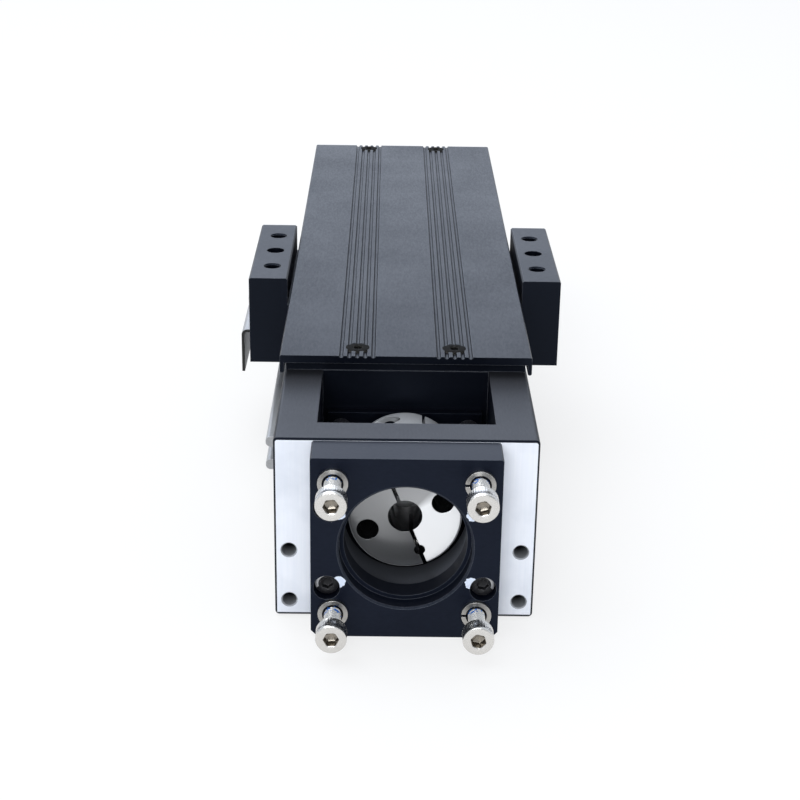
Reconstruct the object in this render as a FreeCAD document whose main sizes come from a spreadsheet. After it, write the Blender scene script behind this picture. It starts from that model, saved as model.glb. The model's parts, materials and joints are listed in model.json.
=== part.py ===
import FreeCAD, Part
import math
import os
import re
import Sketcher

# A ball screw linear stage with a fixed cover, built as one assembly.
# X runs across the stage, Y along the screw away from the motor end, Z up.
# The origin is the centre of the four base mounting holes, on the base face.

SIZES = {
    # Rail: a U channel whose inner walls carry the ball grooves
    "rail_length": 180, "rail_width": 60, "rail_height": 33, "rail_floor": 9, "rail_wall": 9.6,
    "channel_radius": 2, "rail_bevel": 1,
    "base_hole_spacing": 30, "base_hole_pitch": 100, "base_hole_width": 5.5,
    "base_hole_counterbore": 9.5, "base_hole_depth": 5.4,
    # The screw's axis, and the lands that lift the cover above both housings
    "axis_height": 22.5, "land_rise": 3.2, "land_inset": 0.5, "land_gap": 0.3,
    # Motor housing
    "housing_length": 58, "corner_radius": 1, "edge_bevel": 0.5,
    "window_wall": 9.55, "window_start": 9.2, "window_length": 32.9, "coupling_room": 2.25,
    "front_bore_width": 29, "seat_width": 22, "web_bore_width": 18,
    "flange_hole_inset": 3.35, "flange_hole_low": 4.1, "flange_hole_pitch": 12.9,
    "flange_hole_width": 3.3, "flange_hole_depth": 10, "flange_hole_bevel": 0.3,
    "tongue_side_gap": 4.4, "tongue_height": 4.4, "tongue_length": 10, "tongue_screw_spacing": 20,
    "rail_screw_length": 8,
    # Rear housing
    "rear_length": 14, "rear_seat_start": 5.2,
    # Motor plate and its two sets of screws
    "plate_width": 42.6, "plate_height": 44.5, "plate_thickness": 9.5, "plate_bevel": 0.4,
    "plate_foot_bevel": 1.5,
    "pilot_width": 30, "pilot_depth": 4, "pilot_bevel": 0.45, "plate_bore_width": 28,
    "plate_screw_inset": 3.65, "plate_screw_up": 10, "plate_counterbore": 6,
    "plate_counterbore_depth": 5, "plate_screw_length": 10, "plate_thread_depth": 7,
    "motor_circle": 46, "motor_head_gap": 12.5, "motor_head_depth": 4, "motor_screw_length": 16,
    "washer_width": 6.8, "washer_bore": 4.3, "washer_thickness": 1.1, "washer_split": 0.6,
    # Metric screws: thread, head and socket widths
    "m_two_width": 2, "m_two_head": 3.4, "m_two_socket": 1.3,
    "m_three_width": 3, "m_three_head": 5.5, "m_three_socket": 2.5,
    "m_four_width": 4, "m_four_head": 7, "m_four_socket": 3,
    "m_five_width": 5, "m_five_head": 8.5, "m_five_socket": 4,
    "small_bolt_width": 2.5, "small_bolt_head": 4.4, "small_bolt_socket": 2,
    "hole_clearance": 0.3, "head_clearance": 0.8, "head_sink": 0.3,
    # Cover
    "cover_thickness": 2, "cover_side_gap": 0.3, "cover_overhang": 3.9, "cover_rear_gap": 1,
    "cover_bevel": 0.3, "lip_height": 4.6, "lip_thickness": 1,
    "groove_pitch": 1.95, "groove_width": 1.05, "groove_group": 11.9,
    "cover_screw_front": 2.2, "cover_screw_rear": 4, "flat_head_width": 6,
    "flat_head_depth": 1.7, "flat_socket": 2, "cover_screw_length": 6, "cover_thread_depth": 5,
    # Sensor rail: a C channel on the left of the rail
    "sensor_rail_depth": 6.1, "sensor_rail_low": 10.4, "sensor_flange": 2.9, "sensor_slot": 3.6,
    "sensor_top_flange": 2.8, "sensor_web": 1.6, "sensor_tip_radius": 1.2,
    "sensor_rail_gap": 0.5, "sensor_screw_pitch": 70, "sensor_screw_length": 5, "sensor_head_depth": 1,
    # Ball screw and bearings
    "screw_width": 12, "journal_width": 8, "thread_end_width": 10,
    "journal_shoulder_gap": 0.3, "shoulder_width": 13.6, "shoulder_length": 2, "screw_end": 3.5,
    "journal_end": 0.6, "bearing_width": 6, "inner_ring_width": 13.2, "ring_gap": 0.3,
    "ring_wall": 1.7, "shield_thickness": 0.5, "rear_bearing_width": 7, "rear_inner_ring_width": 11.4,
    "nut_outside": 17, "nut_length": 4, "nut_slot_width": 2.5, "nut_slot_depth": 1,
    "cap_side_gap": 1.45, "cap_floor_gap": 3.2, "cap_thickness": 2.5, "cap_spigot": 1.1, "cap_bore": 18.4,
    "cap_screw_inset": 3.2, "cap_screw_drop": 4.3, "cap_screw_length": 8, "cap_thread_depth": 6,
    "clip_thickness": 1, "clip_groove": 0.5, "clip_ring_width": 19.6, "shaft_clip_width": 12, "clip_gap": 3,
    # Disc coupling
    "coupling_width": 26.5, "coupling_start": 7, "hub_length": 13, "hub_gap": 5, "hub_bevel": 0.4,
    "slit_width": 0.9, "slit_depth": 9, "front_slit_angle": 22, "rear_slit_angle": 20,
    "bolt_circle": 18.8, "relief_width": 5.2, "relief_mouth_width": 2.6, "relief_mouth_depth": 2.6,
    "clamp_up": 9, "clamp_back": 4.2, "clamp_seat": 3, "clamp_counterbore": 5.9, "clamp_length": 12,
    "disc_inset": 0.45, "disc_bore": 11, "disc_thickness": 1, "bush_width": 5, "bolt_length": 6,
    # Carriage
    "carriage_place": -31.2, "block_length": 46, "guide_gap": 0.8, "floor_gap": 0.5,
    "nut_clearance": 0.1, "ball_width": 3.2, "ball_clearance": 0.05, "ball_low": 4.5, "ball_high": 5,
    "ball_row_inset": 2, "end_cap_length": 5.5, "end_cap_inset": 0.4, "seal_length": 1.5,
    "seal_clearance": 0.3, "cap_clearance": 0.6, "block_bevel": 1.5,
    "table_length": 50.8, "table_clearance": 0.8, "table_web": 10.8, "web_clearance": 1,
    "upright_width": 10.5, "upright_clearance": 1.2, "upright_rise": 2.1, "upright_drop": 5.9,
    "table_bevel": 0.4, "table_hole_inset": 4.8, "table_hole_pitch": 14.4, "table_thread_width": 4.2,
    "table_thread_depth": 10, "table_dowel_width": 5, "table_dowel_depth": 8,
    "table_screw_across": 13, "table_screw_pitch": 32, "table_screw_length": 12,
    "table_counterbore": 9.4, "table_head_sink": 0.4, "block_thread_depth": 8,
    # Sensor flag: a thin bent strip on the left of the table
    "flag_sheet": 0.8, "flag_reach": 3.4, "flag_drop": 7.7, "flag_shelf_rise": 4.9, "flag_rise": 17.1,
    "flag_start": 12.8, "flag_length": 24, "flag_bend": 1.6, "flag_screw_drop": 5, "flag_screw_pitch": 12,
    "flag_head_depth": 0.8, "flag_screw_length": 5,
    # Rubber stops
    "stop_side_gap": 3.4, "stop_floor_gap": 0.8, "stop_top_gap": 1.5, "stop_length": 2.5, "stop_bore": 15,
}

# What follows from those sizes, kept in the same sheet
FORMULAS = {
    "channel_width": "rail_width - 2 * rail_wall",
    "block_width": "channel_width - 2 * guide_gap",
    "block_bottom": "rail_floor + tongue_height + floor_gap",
    "table_seat": "rail_height + table_clearance",
    "table_web_top": "table_seat + table_web",
    "lip_bottom": "table_web_top + web_clearance",
    "cover_top": "lip_bottom + lip_height",
    "land_top": "cover_top - cover_thickness",
    "housing_height": "land_top - land_rise",
    "land_width": "rail_width - 2 * land_inset",
    "cover_width": "land_width + 2 * cover_side_gap + 2 * lip_thickness",
    "table_inside": "cover_width + 2 * upright_clearance",
    "table_width": "table_inside + 2 * upright_width",
    "table_bottom": "table_seat - upright_drop",
    "table_top": "cover_top + upright_rise",
    "table_hole_place": "table_inside / 2 + table_hole_inset",
    "front_place": "-rail_length / 2 - housing_length",
    "rear_place": "rail_length / 2",
    "window_width": "rail_width - 2 * window_wall",
    "window_end": "window_start + window_length",
    "window_floor": "axis_height - coupling_width / 2 - coupling_room",
    "land_start": "window_end + land_gap",
    "cover_front": "front_place + land_start - cover_overhang",
    "cover_back": "rear_place + rear_length - cover_rear_gap",
    "cover_screw_start": "front_place + land_start + cover_screw_front",
    "cover_screw_end": "cover_back - cover_screw_rear",
    "seat_front": "window_end + cap_spigot",
    "seat_back": "seat_front + 2 * bearing_width",
    "rear_seat": "rear_place + rear_seat_start",
    "rear_clip": "rear_seat + rear_bearing_width",
    "journal_start": "coupling_start + hub_length + hub_gap",
    "thread_end_start": "journal_start + hub_length + journal_shoulder_gap",
    "flange_hole_spacing": "rail_width - 2 * flange_hole_inset",
    "flange_hole_high": "flange_hole_low + flange_hole_pitch",
    "motor_offset": "motor_circle * sqrt(2) / 4",
    "plate_face": "front_place - plate_thickness",
    "plate_screw_across": "plate_width / 2 - plate_screw_inset",
    "tongue_width": "channel_width - 2 * tongue_side_gap",
    "tongue_top": "rail_floor + tongue_height",
    "tongue_middle": "rail_length / 2 - tongue_length / 2",
    "cap_width": "window_width - 2 * cap_side_gap",
    "cap_height": "coupling_width + 2 * coupling_room - 2 * cap_floor_gap",
    "cap_screw_across": "cap_width / 2 - cap_screw_inset",
    "cap_screw_up": "cap_height / 2 - cap_screw_drop",
    "disc_width": "coupling_width - 2 * disc_inset",
    "ball_place": "(block_width + channel_width) / 4",
    "ball_lower": "axis_height - ball_low",
    "ball_upper": "axis_height + ball_high",
    "sensor_slot_low": "sensor_rail_low + sensor_flange",
    "sensor_slot_high": "sensor_slot_low + sensor_slot",
    "sensor_slot_middle": "sensor_slot_low + sensor_slot / 2",
    "sensor_rail_high": "sensor_slot_high + sensor_top_flange",
    "flag_shelf": "table_bottom + flag_shelf_rise",
    "flag_bottom": "table_bottom - flag_drop",
    "flag_high": "table_bottom + flag_rise",
    "flag_screw_up": "flag_high - flag_screw_drop",
    "flag_place": "carriage_place - flag_start",
    "stop_width": "channel_width - 2 * stop_side_gap",
    "stop_low": "tongue_top + stop_floor_gap",
    "stop_high": "rail_height - stop_top_gap",
}

TURN_ALONG = {
    "x": FreeCAD.Rotation(FreeCAD.Vector(0, 1, 0), 90),
    "y": FreeCAD.Rotation(FreeCAD.Vector(1, 0, 0), -90),
    "z": FreeCAD.Rotation(),
    "-x": FreeCAD.Rotation(FreeCAD.Vector(0, 1, 0), -90),
    "-y": FreeCAD.Rotation(FreeCAD.Vector(1, 0, 0), 90),
    "-z": FreeCAD.Rotation(FreeCAD.Vector(1, 0, 0), 180),
}

document = FreeCAD.newDocument("linear_stage")
sheet = document.addObject("Spreadsheet::Sheet", "sizes")
for row, (word, content) in enumerate([*SIZES.items(), *FORMULAS.items()], 1):
    sheet.set(f"A{row}", word)
    sheet.setAlias(f"B{row}", word)
    sheet.set(f"B{row}", f"={content}")
document.recompute()

nodes = []


def size(word):
    """The value that a size or formula has in the sheet."""
    return float(sheet.get(word))


def sized(formula):
    """Points each word of a formula at its cell in the sheet."""
    return re.sub(r"[a-z]+(_[a-z]+)+", r"sizes.\g<0>", formula)


def bind(thing, formulas):
    for path, formula in formulas.items():
        thing.setExpression(path, sized(formula))


def node(thing, name):
    """Marks a finished sub-part: its label is its file's name."""
    thing.Label = name
    nodes.append(thing)
    return thing


# Plain solids and what is made of them

def bar(name, x, y, z):
    """A box from low to high along each axis."""
    made = document.addObject("Part::Box", name)
    for (low, high), side, axis in ((x, "Length", "x"), (y, "Width", "y"), (z, "Height", "z")):
        bind(made, {side: f"({high}) - ({low})", f"Placement.Base.{axis}": low})
    return made


def place(thing, along, x, y, z):
    """Turns a solid made along Z to the named axis, and moves its start there."""
    thing.Placement = FreeCAD.Placement(FreeCAD.Vector(), TURN_ALONG[along])
    bind(thing, {"Placement.Base.x": x, "Placement.Base.y": y, "Placement.Base.z": z})
    return thing


def rod(name, width, length, along="z", x="0", y="0", z="0"):
    made = document.addObject("Part::Cylinder", name)
    bind(made, {"Radius": f"({width}) / 2", "Height": length})
    return place(made, along, x, y, z)


def socket(name, across, depth):
    made = document.addObject("Part::Prism", name)
    made.Polygon = 6
    bind(made, {"Circumradius": f"{across} / sqrt(3)", "Height": depth})
    return made


def fuse(name, shapes):
    made = document.addObject("Part::MultiFuse", name)
    made.Shapes = shapes
    return made


def cut(name, base, tools):
    made = document.addObject("Part::Cut", name)
    made.Base = base
    made.Tool = tools[0] if len(tools) == 1 else fuse(f"{name}_tools", tools)
    return made


def group(name, members):
    made = document.addObject("Part::Compound", name)
    made.Links = members
    return made


def cap_screw(name, metric, length, head_depth, along, x, y, z):
    """A socket head screw: its head's face lies at the place, its thread runs along the axis."""
    head = rod(f"{name}_head", f"{metric}_head", head_depth)
    thread = rod(f"{name}_thread", f"{metric}_width", f"{head_depth} + {length}")
    key = socket(f"{name}_key", f"{metric}_socket", f"{head_depth} / 2")
    return place(cut(name, fuse(f"{name}_blank", [head, thread]), [key]), along, x, y, z)


def flat_screw(name, x, y, z):
    """A countersunk screw pointing down, its flat head level with z."""
    cone = document.addObject("Part::Cone", f"{name}_cone")
    bind(cone, {"Radius1": "flat_head_width / 2", "Radius2": "m_three_width / 2",
                "Height": "flat_head_depth"})
    thread = rod(f"{name}_thread", "m_three_width", "cover_screw_length")
    key = socket(f"{name}_key", "flat_socket", "flat_head_depth * 0.7")
    return place(cut(name, fuse(f"{name}_blank", [cone, thread]), [key]), "-z", x, y, z)


# Bodies made from sketches

def body_of(name):
    return document.addObject("PartDesign::Body", name)


def sketch_on(body, plane, at):
    """A sketch on one of the body's own planes, moved to the given place along its axis."""
    drawing = body.newObject("Sketcher::SketchObject", f"{body.Name}_sketch")
    support = [part for part in body.Origin.OriginFeatures if part.Role == plane][0]
    drawing.AttachmentSupport = [(support, "")]
    drawing.MapMode = "FlatFace"
    bind(drawing, {"AttachmentOffset.Base.z": f"-({at})" if plane == "XZ_Plane" else at})
    return drawing


def tie(drawing, index, point, across, up):
    """Holds a point of the sketch at two distances from the sketch's origin."""
    for kind, formula in (("DistanceX", across), ("DistanceY", up)):
        number = drawing.addConstraint(Sketcher.Constraint(kind, -1, 1, index, point, 1.0))
        bind(drawing, {f"Constraints[{number}]": formula})


def outline(drawing, corners):
    """A closed outline: each corner has its own pair of formulas."""
    count = len(corners)
    turn = [FreeCAD.Vector(math.cos(2 * math.pi * k / count), math.sin(2 * math.pi * k / count), 0)
            for k in range(count)]
    first = drawing.GeometryCount
    for k in range(count):
        drawing.addGeometry(Part.LineSegment(turn[k] * 50, turn[(k + 1) % count] * 50))
    for k in range(count):
        follower = first + (k + 1) % count
        drawing.addConstraint(Sketcher.Constraint("Coincident", first + k, 2, follower, 1))
    for k, (across, up) in enumerate(corners):
        tie(drawing, first + k, 1, across, up)


def circle(drawing, across, up, width):
    index = drawing.addGeometry(Part.Circle(FreeCAD.Vector(1, 1, 0), FreeCAD.Vector(0, 0, 1), 1))
    tie(drawing, index, 3, across, up)
    number = drawing.addConstraint(Sketcher.Constraint("Radius", index, 1.0))
    bind(drawing, {f"Constraints[{number}]": f"({width}) / 2"})


def rectangle(across, up):
    """The corners of a rectangle from low to high each way."""
    (left, right), (low, high) = across, up
    return [(left, low), (right, low), (right, high), (left, high)]


def drawn(body, plane, at, outlines, circles):
    drawing = sketch_on(body, plane, at)
    for corners in outlines:
        outline(drawing, corners)
    for place_and_width in circles:
        circle(drawing, *place_and_width)
    return drawing


def pad(body, plane, start, end, outlines=(), circles=()):
    """Adds material between two places along the plane's axis."""
    at = end if plane == "XZ_Plane" else start
    drawing = drawn(body, plane, at, outlines, circles)
    made = body.newObject("PartDesign::Pad", f"{body.Name}_pad")
    made.Profile = drawing
    bind(made, {"Length": f"({end}) - ({start})"})
    document.recompute()


def pocket(body, plane, start, end, outlines=(), circles=()):
    """Takes material away between two places along the plane's axis."""
    before = body.Shape.Volume
    at = start if plane == "XZ_Plane" else end
    drawing = drawn(body, plane, at, outlines, circles)
    made = body.newObject("PartDesign::Pocket", f"{body.Name}_pocket")
    made.Profile = drawing
    bind(made, {"Length": f"({end}) - ({start})"})
    document.recompute()
    if body.Shape.Volume > before - 0.01:
        raise ValueError(f"{made.Name} cuts nothing")


def revolved(body, corners):
    """Turns an outline, given as places along the axis and radii, about the body's Y axis."""
    drawing = drawn(body, "YZ_Plane", "0", [corners], [])
    made = body.newObject("PartDesign::Revolution", f"{body.Name}_turned")
    made.Profile = drawing
    made.ReferenceAxis = (drawing, ["H_Axis"])
    made.Angle = 360
    document.recompute()


def dress(body, kind, sheet_word, chosen):
    """Bevels or rounds the edges that the test picks."""
    base = body.Tip
    names = [f"Edge{k}" for k, edge in enumerate(base.Shape.Edges, 1) if chosen(edge)]
    if not names:
        raise ValueError(f"no edge of {body.Name} to dress")
    made = body.newObject(f"PartDesign::{kind}", f"{body.Name}_{kind.lower()}")
    made.Base = (base, names)
    bind(made, {"Radius" if kind == "Fillet" else "Size": sheet_word})
    document.recompute()


def near(value, *words):
    """Is the value at one of these sizes, whatever its sign?"""
    return any(abs(abs(value) - abs(word)) < 0.001 for word in words)


def runs_along(edge, axis):
    start, end = edge.Vertexes[0].Point, edge.Vertexes[-1].Point
    others = [k for k in range(3) if k != axis]
    return all(abs(start[k] - end[k]) < 0.001 for k in others) and abs(start[axis] - end[axis]) > 0.001


def is_round(edge, width):
    return edge.Curve.TypeId == "Part::GeomCircle" and near(edge.Curve.Radius, width / 2)


def four(across, up, width):
    """Four equal circles, mirrored both ways about the sketch's origin."""
    return [(f"{a}({across})", f"{b}({up})", width) for a in ("", "-") for b in ("", "-")]


def around_axis(across, up, width):
    """Four equal circles about the screw's axis, seen along Y."""
    return [(f"{a}({across})", f"axis_height {b} ({up})", width) for a in ("", "-") for b in "+-"]


def outer_rail():
    """Ground steel U channel with two ball grooves in each wall and counterbored base holes."""
    body = body_of("outer_rail")
    half, inner = "rail_width / 2", "channel_width / 2"
    right = [(half, "0"), (half, "rail_height - rail_bevel"), (f"{half} - rail_bevel", "rail_height"),
             (inner, "rail_height"), (inner, "rail_floor")]
    left = [(f"-({across})", up) for across, up in reversed(right)]
    pad(body, "XZ_Plane", "-rear_place", "rear_place", [right + left])
    width = size("channel_width") / 2
    dress(body, "Fillet", "channel_radius",
          lambda edge: runs_along(edge, 1) and near(edge.Vertexes[0].X, width)
          and near(edge.Vertexes[0].Z, size("rail_floor")))
    grooves = [(f"{side}ball_place", up, "ball_width + 2 * ball_clearance")
               for side in ("", "-") for up in ("ball_lower", "ball_upper")]
    pocket(body, "XZ_Plane", "-rear_place", "rear_place", circles=grooves)
    base = ("base_hole_spacing / 2", "base_hole_pitch / 2")
    pocket(body, "XY_Plane", "0", "rail_floor", circles=four(*base, "base_hole_width"))
    pocket(body, "XY_Plane", "rail_floor - base_hole_depth", "rail_floor",
           circles=four(*base, "base_hole_counterbore"))
    tongue = ("tongue_screw_spacing / 2", "tongue_middle")
    pocket(body, "XY_Plane", "0", "rail_floor", circles=four(*tongue, "m_four_width + hole_clearance"))
    pocket(body, "XY_Plane", "0", "m_four_width + head_sink", circles=four(*tongue, "m_four_head + head_clearance"))
    pocket(body, "YZ_Plane", "-rail_width / 2", "-rail_width / 2 + sensor_screw_length",
           circles=[(f"{k} * sensor_screw_pitch", "sensor_slot_middle", "m_two_width") for k in (-1, 0, 1)])
    node(body, "outer_rail")


def housing_land(body, start, end):
    """The raised seat under the cover and its two tapped holes."""
    pad(body, "XY_Plane", "housing_height", "land_top",
        [rectangle(("-land_width / 2", "land_width / 2"), (start, end))])


def tongue(body, start, end):
    """The foot that stands on the rail's floor, tapped for two screws from below."""
    pad(body, "XY_Plane", "rail_floor", "tongue_top",
        [rectangle(("-tongue_width / 2", "tongue_width / 2"), (start, end))])
    middle = f"(({start}) + ({end})) / 2"
    pocket(body, "XY_Plane", "rail_floor", "tongue_top",
           circles=[(f"{side}tongue_screw_spacing / 2", middle, "m_four_width") for side in ("", "-")])


def motor_housing():
    """Block that carries the bearings and encloses the coupling, open at the top and the front."""
    body = body_of("motor_housing")
    half = "rail_width / 2"
    pad(body, "XZ_Plane", "front_place", "-rear_place", [rectangle((f"-{half}", half), ("0", "housing_height"))])
    dress(body, "Fillet", "corner_radius", lambda edge: runs_along(edge, 1))
    front = size("front_place")
    dress(body, "Chamfer", "edge_bevel",
          lambda edge: runs_along(edge, 0) and near(edge.Vertexes[0].Y, front)
          and near(edge.Vertexes[0].Z, size("housing_height")))
    housing_land(body, "front_place + land_start", "-rear_place")
    pocket(body, "XY_Plane", "window_floor", "land_top",
           [rectangle(("-window_width / 2", "window_width / 2"),
                      ("front_place + window_start", "front_place + window_end"))])
    axis = ("0", "axis_height")
    pocket(body, "XZ_Plane", "front_place", "front_place + window_start", circles=[(*axis, "front_bore_width")])
    pocket(body, "XZ_Plane", "front_place + window_end", "front_place + seat_back", circles=[(*axis, "seat_width")])
    pocket(body, "XZ_Plane", "front_place + seat_back", "-rear_place", circles=[(*axis, "web_bore_width")])
    flange = [(f"{side}flange_hole_spacing / 2", up, "flange_hole_width")
              for side in ("", "-") for up in ("flange_hole_low", "flange_hole_high")]
    pocket(body, "XZ_Plane", "front_place", "front_place + flange_hole_depth", circles=flange)
    dress(body, "Chamfer", "flange_hole_bevel",
          lambda edge: is_round(edge, size("flange_hole_width")) and near(edge.Vertexes[0].Y, front))
    pocket(body, "XZ_Plane", "front_place", "front_place + plate_thread_depth",
           circles=around_axis("plate_screw_across", "plate_screw_up", "m_three_width"))
    pocket(body, "XZ_Plane", "front_place + window_end", "front_place + window_end + cap_thread_depth",
           circles=around_axis("cap_screw_across", "cap_screw_up", "m_three_width"))
    pocket(body, "XY_Plane", "land_top - cover_thread_depth", "land_top",
           circles=[(f"{side}groove_group", "cover_screw_start", "m_three_width")
                    for side in ("", "-")])
    tongue(body, "-rear_place", "-rear_place + tongue_length")
    node(body, "motor_housing")


def rear_housing():
    """End block with the seat of the rear bearing."""
    body = body_of("rear_housing")
    half = "rail_width / 2"
    end = "(rear_place + rear_length)"
    pad(body, "XZ_Plane", "rear_place", end, [rectangle((f"-{half}", half), ("0", "housing_height"))])
    dress(body, "Fillet", "corner_radius", lambda edge: runs_along(edge, 1))
    housing_land(body, "rear_place", "cover_back")
    axis = ("0", "axis_height")
    pocket(body, "XZ_Plane", "rear_place", "rear_seat", circles=[(*axis, "web_bore_width")])
    pocket(body, "XZ_Plane", "rear_seat", end, circles=[(*axis, "seat_width")])
    pocket(body, "XZ_Plane", "rear_clip", "rear_clip + clip_thickness",
           circles=[(*axis, "seat_width + 2 * clip_groove")])
    pocket(body, "XY_Plane", "land_top - cover_thread_depth", "land_top",
           circles=[(f"{side}groove_group", "cover_screw_end", "m_three_width")
                    for side in ("", "-")])
    tongue(body, "rear_place - tongue_length", "rear_place")
    node(body, "rear_housing")


def motor_plate():
    """Adapter plate: pilot recess for the motor, tapped holes round it, counterbores for its own screws."""
    body = body_of("motor_plate")
    pad(body, "XZ_Plane", "plate_face", "front_place",
        [rectangle(("-plate_width / 2", "plate_width / 2"), ("0", "plate_height"))])
    for bevel, height in (("plate_foot_bevel", 0), ("plate_bevel", size("plate_height"))):
        dress(body, "Chamfer", bevel,
              lambda edge: runs_along(edge, 1) and near(edge.Vertexes[0].Z, height))
    axis = ("0", "axis_height")
    pocket(body, "XZ_Plane", "plate_face", "front_place", circles=[(*axis, "plate_bore_width")])
    pocket(body, "XZ_Plane", "plate_face", "plate_face + pilot_depth", circles=[(*axis, "pilot_width")])
    dress(body, "Chamfer", "pilot_bevel",
          lambda edge: is_round(edge, size("pilot_width"))
          and near(edge.Vertexes[0].Y, size("plate_face")))
    pocket(body, "XZ_Plane", "plate_face", "front_place", circles=around_axis("motor_offset", "motor_offset", "m_four_width"))
    own = ("plate_screw_across", "plate_screw_up")
    pocket(body, "XZ_Plane", "plate_face", "front_place", circles=around_axis(*own, "m_three_width + hole_clearance"))
    pocket(body, "XZ_Plane", "plate_face", "plate_face + plate_counterbore_depth",
           circles=around_axis(*own, "plate_counterbore"))
    node(body, "motor_plate")


def top_cover():
    """Extruded aluminium cover: turned-down lips and two bands of five shallow grooves."""
    body = body_of("cover_profile")
    outer, inner = "cover_width / 2", "cover_width / 2 - lip_thickness"
    under, low = "land_top", "lip_bottom"
    right = [(outer, low), (outer, "cover_top")]
    left = [("-cover_width / 2", "cover_top"), ("-cover_width / 2", low),
            (f"-({inner})", low), (f"-({inner})", under)]
    pad(body, "XZ_Plane", "cover_front", "cover_back", [right + left + [(inner, under), (inner, low)]])
    dress(body, "Chamfer", "cover_bevel",
          lambda edge: runs_along(edge, 1) and near(edge.Vertexes[0].X, size("cover_width") / 2)
          and near(edge.Vertexes[0].Z, size("cover_top")))
    dress(body, "Fillet", "lip_thickness * 0.45",
          lambda edge: runs_along(edge, 1)
          and near(edge.Vertexes[0].Z, size("lip_bottom")))
    grooves = [(f"{side}(groove_group + {k} * groove_pitch)", "cover_top", "groove_width")
               for side in ("", "-") for k in (-2, -1, 0, 1, 2)]
    pocket(body, "XZ_Plane", "cover_front", "cover_back", circles=grooves)
    holes = [(f"{side}groove_group", y, "m_three_width + hole_clearance") for side in ("", "-")
             for y in ("cover_screw_start", "cover_screw_end")]
    pocket(body, "XY_Plane", "land_top", "cover_top", circles=holes)
    document.recompute()
    sinks = []
    for k, (x, y, _) in enumerate(holes):
        cone = document.addObject("Part::Cone", f"cover_sink_{k}")
        bind(cone, {"Radius1": "flat_head_width / 2", "Radius2": "m_three_width / 2",
                    "Height": "flat_head_depth"})
        sinks.append(place(cone, "-z", x, y, "cover_top"))
    node(cut("top_cover", body, sinks), "top_cover")


def fixed_screws():
    """The screws of the fixed side, one node for each kind."""
    sides = [(a, b) for a in ("", "-") for b in ("+", "-")]
    plate = [cap_screw(f"plate_screw_{k}", "m_three", "plate_screw_length", "m_three_width", "y",
                       f"{a}plate_screw_across", "plate_face + plate_counterbore_depth - m_three_width",
                       f"axis_height {b} plate_screw_up") for k, (a, b) in enumerate(sides)]
    node(group("plate_screws", plate), "plate_screws")
    motor = [cap_screw(f"motor_screw_{k}", "m_four", "motor_screw_length", "motor_head_depth", "y",
                       f"{a}motor_offset", "plate_face - motor_head_gap",
                       f"axis_height {b} motor_offset") for k, (a, b) in enumerate(sides)]
    node(group("motor_screws", motor), "motor_screws")
    washers = []
    middle = ("-washer_split / 2", "washer_split / 2")
    for k, (a, b) in enumerate(sides):
        split = (("-washer_width", "0"), middle) if a == "" else (middle, ("-washer_width", "0"))
        ring = rod(f"washer_{k}_ring", "washer_width", "washer_thickness")
        hole = rod(f"washer_{k}_hole", "washer_bore", "washer_thickness")
        gap = bar(f"washer_{k}_gap", *split, ("0", "washer_thickness"))
        washers.append(place(cut(f"washer_{k}", ring, [hole, gap]), "-y",
                             f"{a}motor_offset", "plate_face", f"axis_height {b} motor_offset"))
    node(group("lock_washers", washers), "lock_washers")
    cover = [flat_screw(f"cover_screw_{k}{j}", f"{a}groove_group", y, "cover_top")
             for k, a in enumerate(("", "-"))
             for j, y in enumerate(("cover_screw_start",
                                    "cover_screw_end"))]
    node(group("cover_screws", cover), "cover_screws")
    rail = [cap_screw(f"rail_screw_{k}", "m_four", "rail_screw_length", "m_four_width", "z",
                      f"{a}tongue_screw_spacing / 2", f"{b}tongue_middle", "head_sink")
            for k, (a, b) in enumerate([(a, b) for a in ("", "-") for b in ("", "-")])]
    node(group("rail_screws", rail), "rail_screws")
    bearing = [cap_screw(f"cap_screw_{k}", "m_three", "cap_screw_length", "m_three_width", "y",
                         f"{a}cap_screw_across",
                         "front_place + window_end - cap_thickness - m_three_width",
                         f"axis_height {b} cap_screw_up") for k, (a, b) in enumerate(sides)]
    node(group("bearing_cap_screws", bearing), "bearing_cap_screws")
    sensor = [cap_screw(f"sensor_screw_{k}", "m_two", "sensor_screw_length", "sensor_head_depth", "x",
                        "-rail_width / 2 - sensor_web - sensor_head_depth",
                        f"{k - 1} * sensor_screw_pitch", "sensor_slot_middle") for k in range(3)]
    node(group("sensor_rail_screws", sensor), "sensor_rail_screws")


def sensor_rail():
    """C channel along the rail's left side, open outwards, that position sensors clip into."""
    body = body_of("sensor_rail")
    inside, outside = "-rail_width / 2", "-rail_width / 2 - sensor_rail_depth"
    web = "-rail_width / 2 - sensor_web"
    pad(body, "XZ_Plane", "-rear_place + sensor_rail_gap", "rear_place - sensor_rail_gap",
        [[(inside, "sensor_rail_low"), (inside, "sensor_rail_high"), (outside, "sensor_rail_high"),
          (outside, "sensor_slot_high"), (web, "sensor_slot_high"), (web, "sensor_slot_low"),
          (outside, "sensor_slot_low"), (outside, "sensor_rail_low")]])
    tip = size("rail_width") / 2 + size("sensor_rail_depth")
    dress(body, "Fillet", "sensor_tip_radius",
          lambda edge: runs_along(edge, 1) and near(edge.Vertexes[0].X, tip))
    pocket(body, "YZ_Plane", web, inside,
           circles=[(f"{k} * sensor_screw_pitch", "sensor_slot_middle", "m_two_width") for k in (-1, 0, 1)])
    node(body, "sensor_rail")


def rubber_stop(name, start, end):
    body = body_of(name)
    pad(body, "XZ_Plane", start, end,
        [rectangle(("-stop_width / 2", "stop_width / 2"), ("stop_low", "stop_high"))])
    pocket(body, "XZ_Plane", start, end, circles=[("0", "axis_height", "stop_bore")])
    node(body, name)


def on_axis(body, start):
    """Moves a turned body onto the screw's axis."""
    bind(body, {"Placement.Base.y": start, "Placement.Base.z": "axis_height"})
    return body


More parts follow.
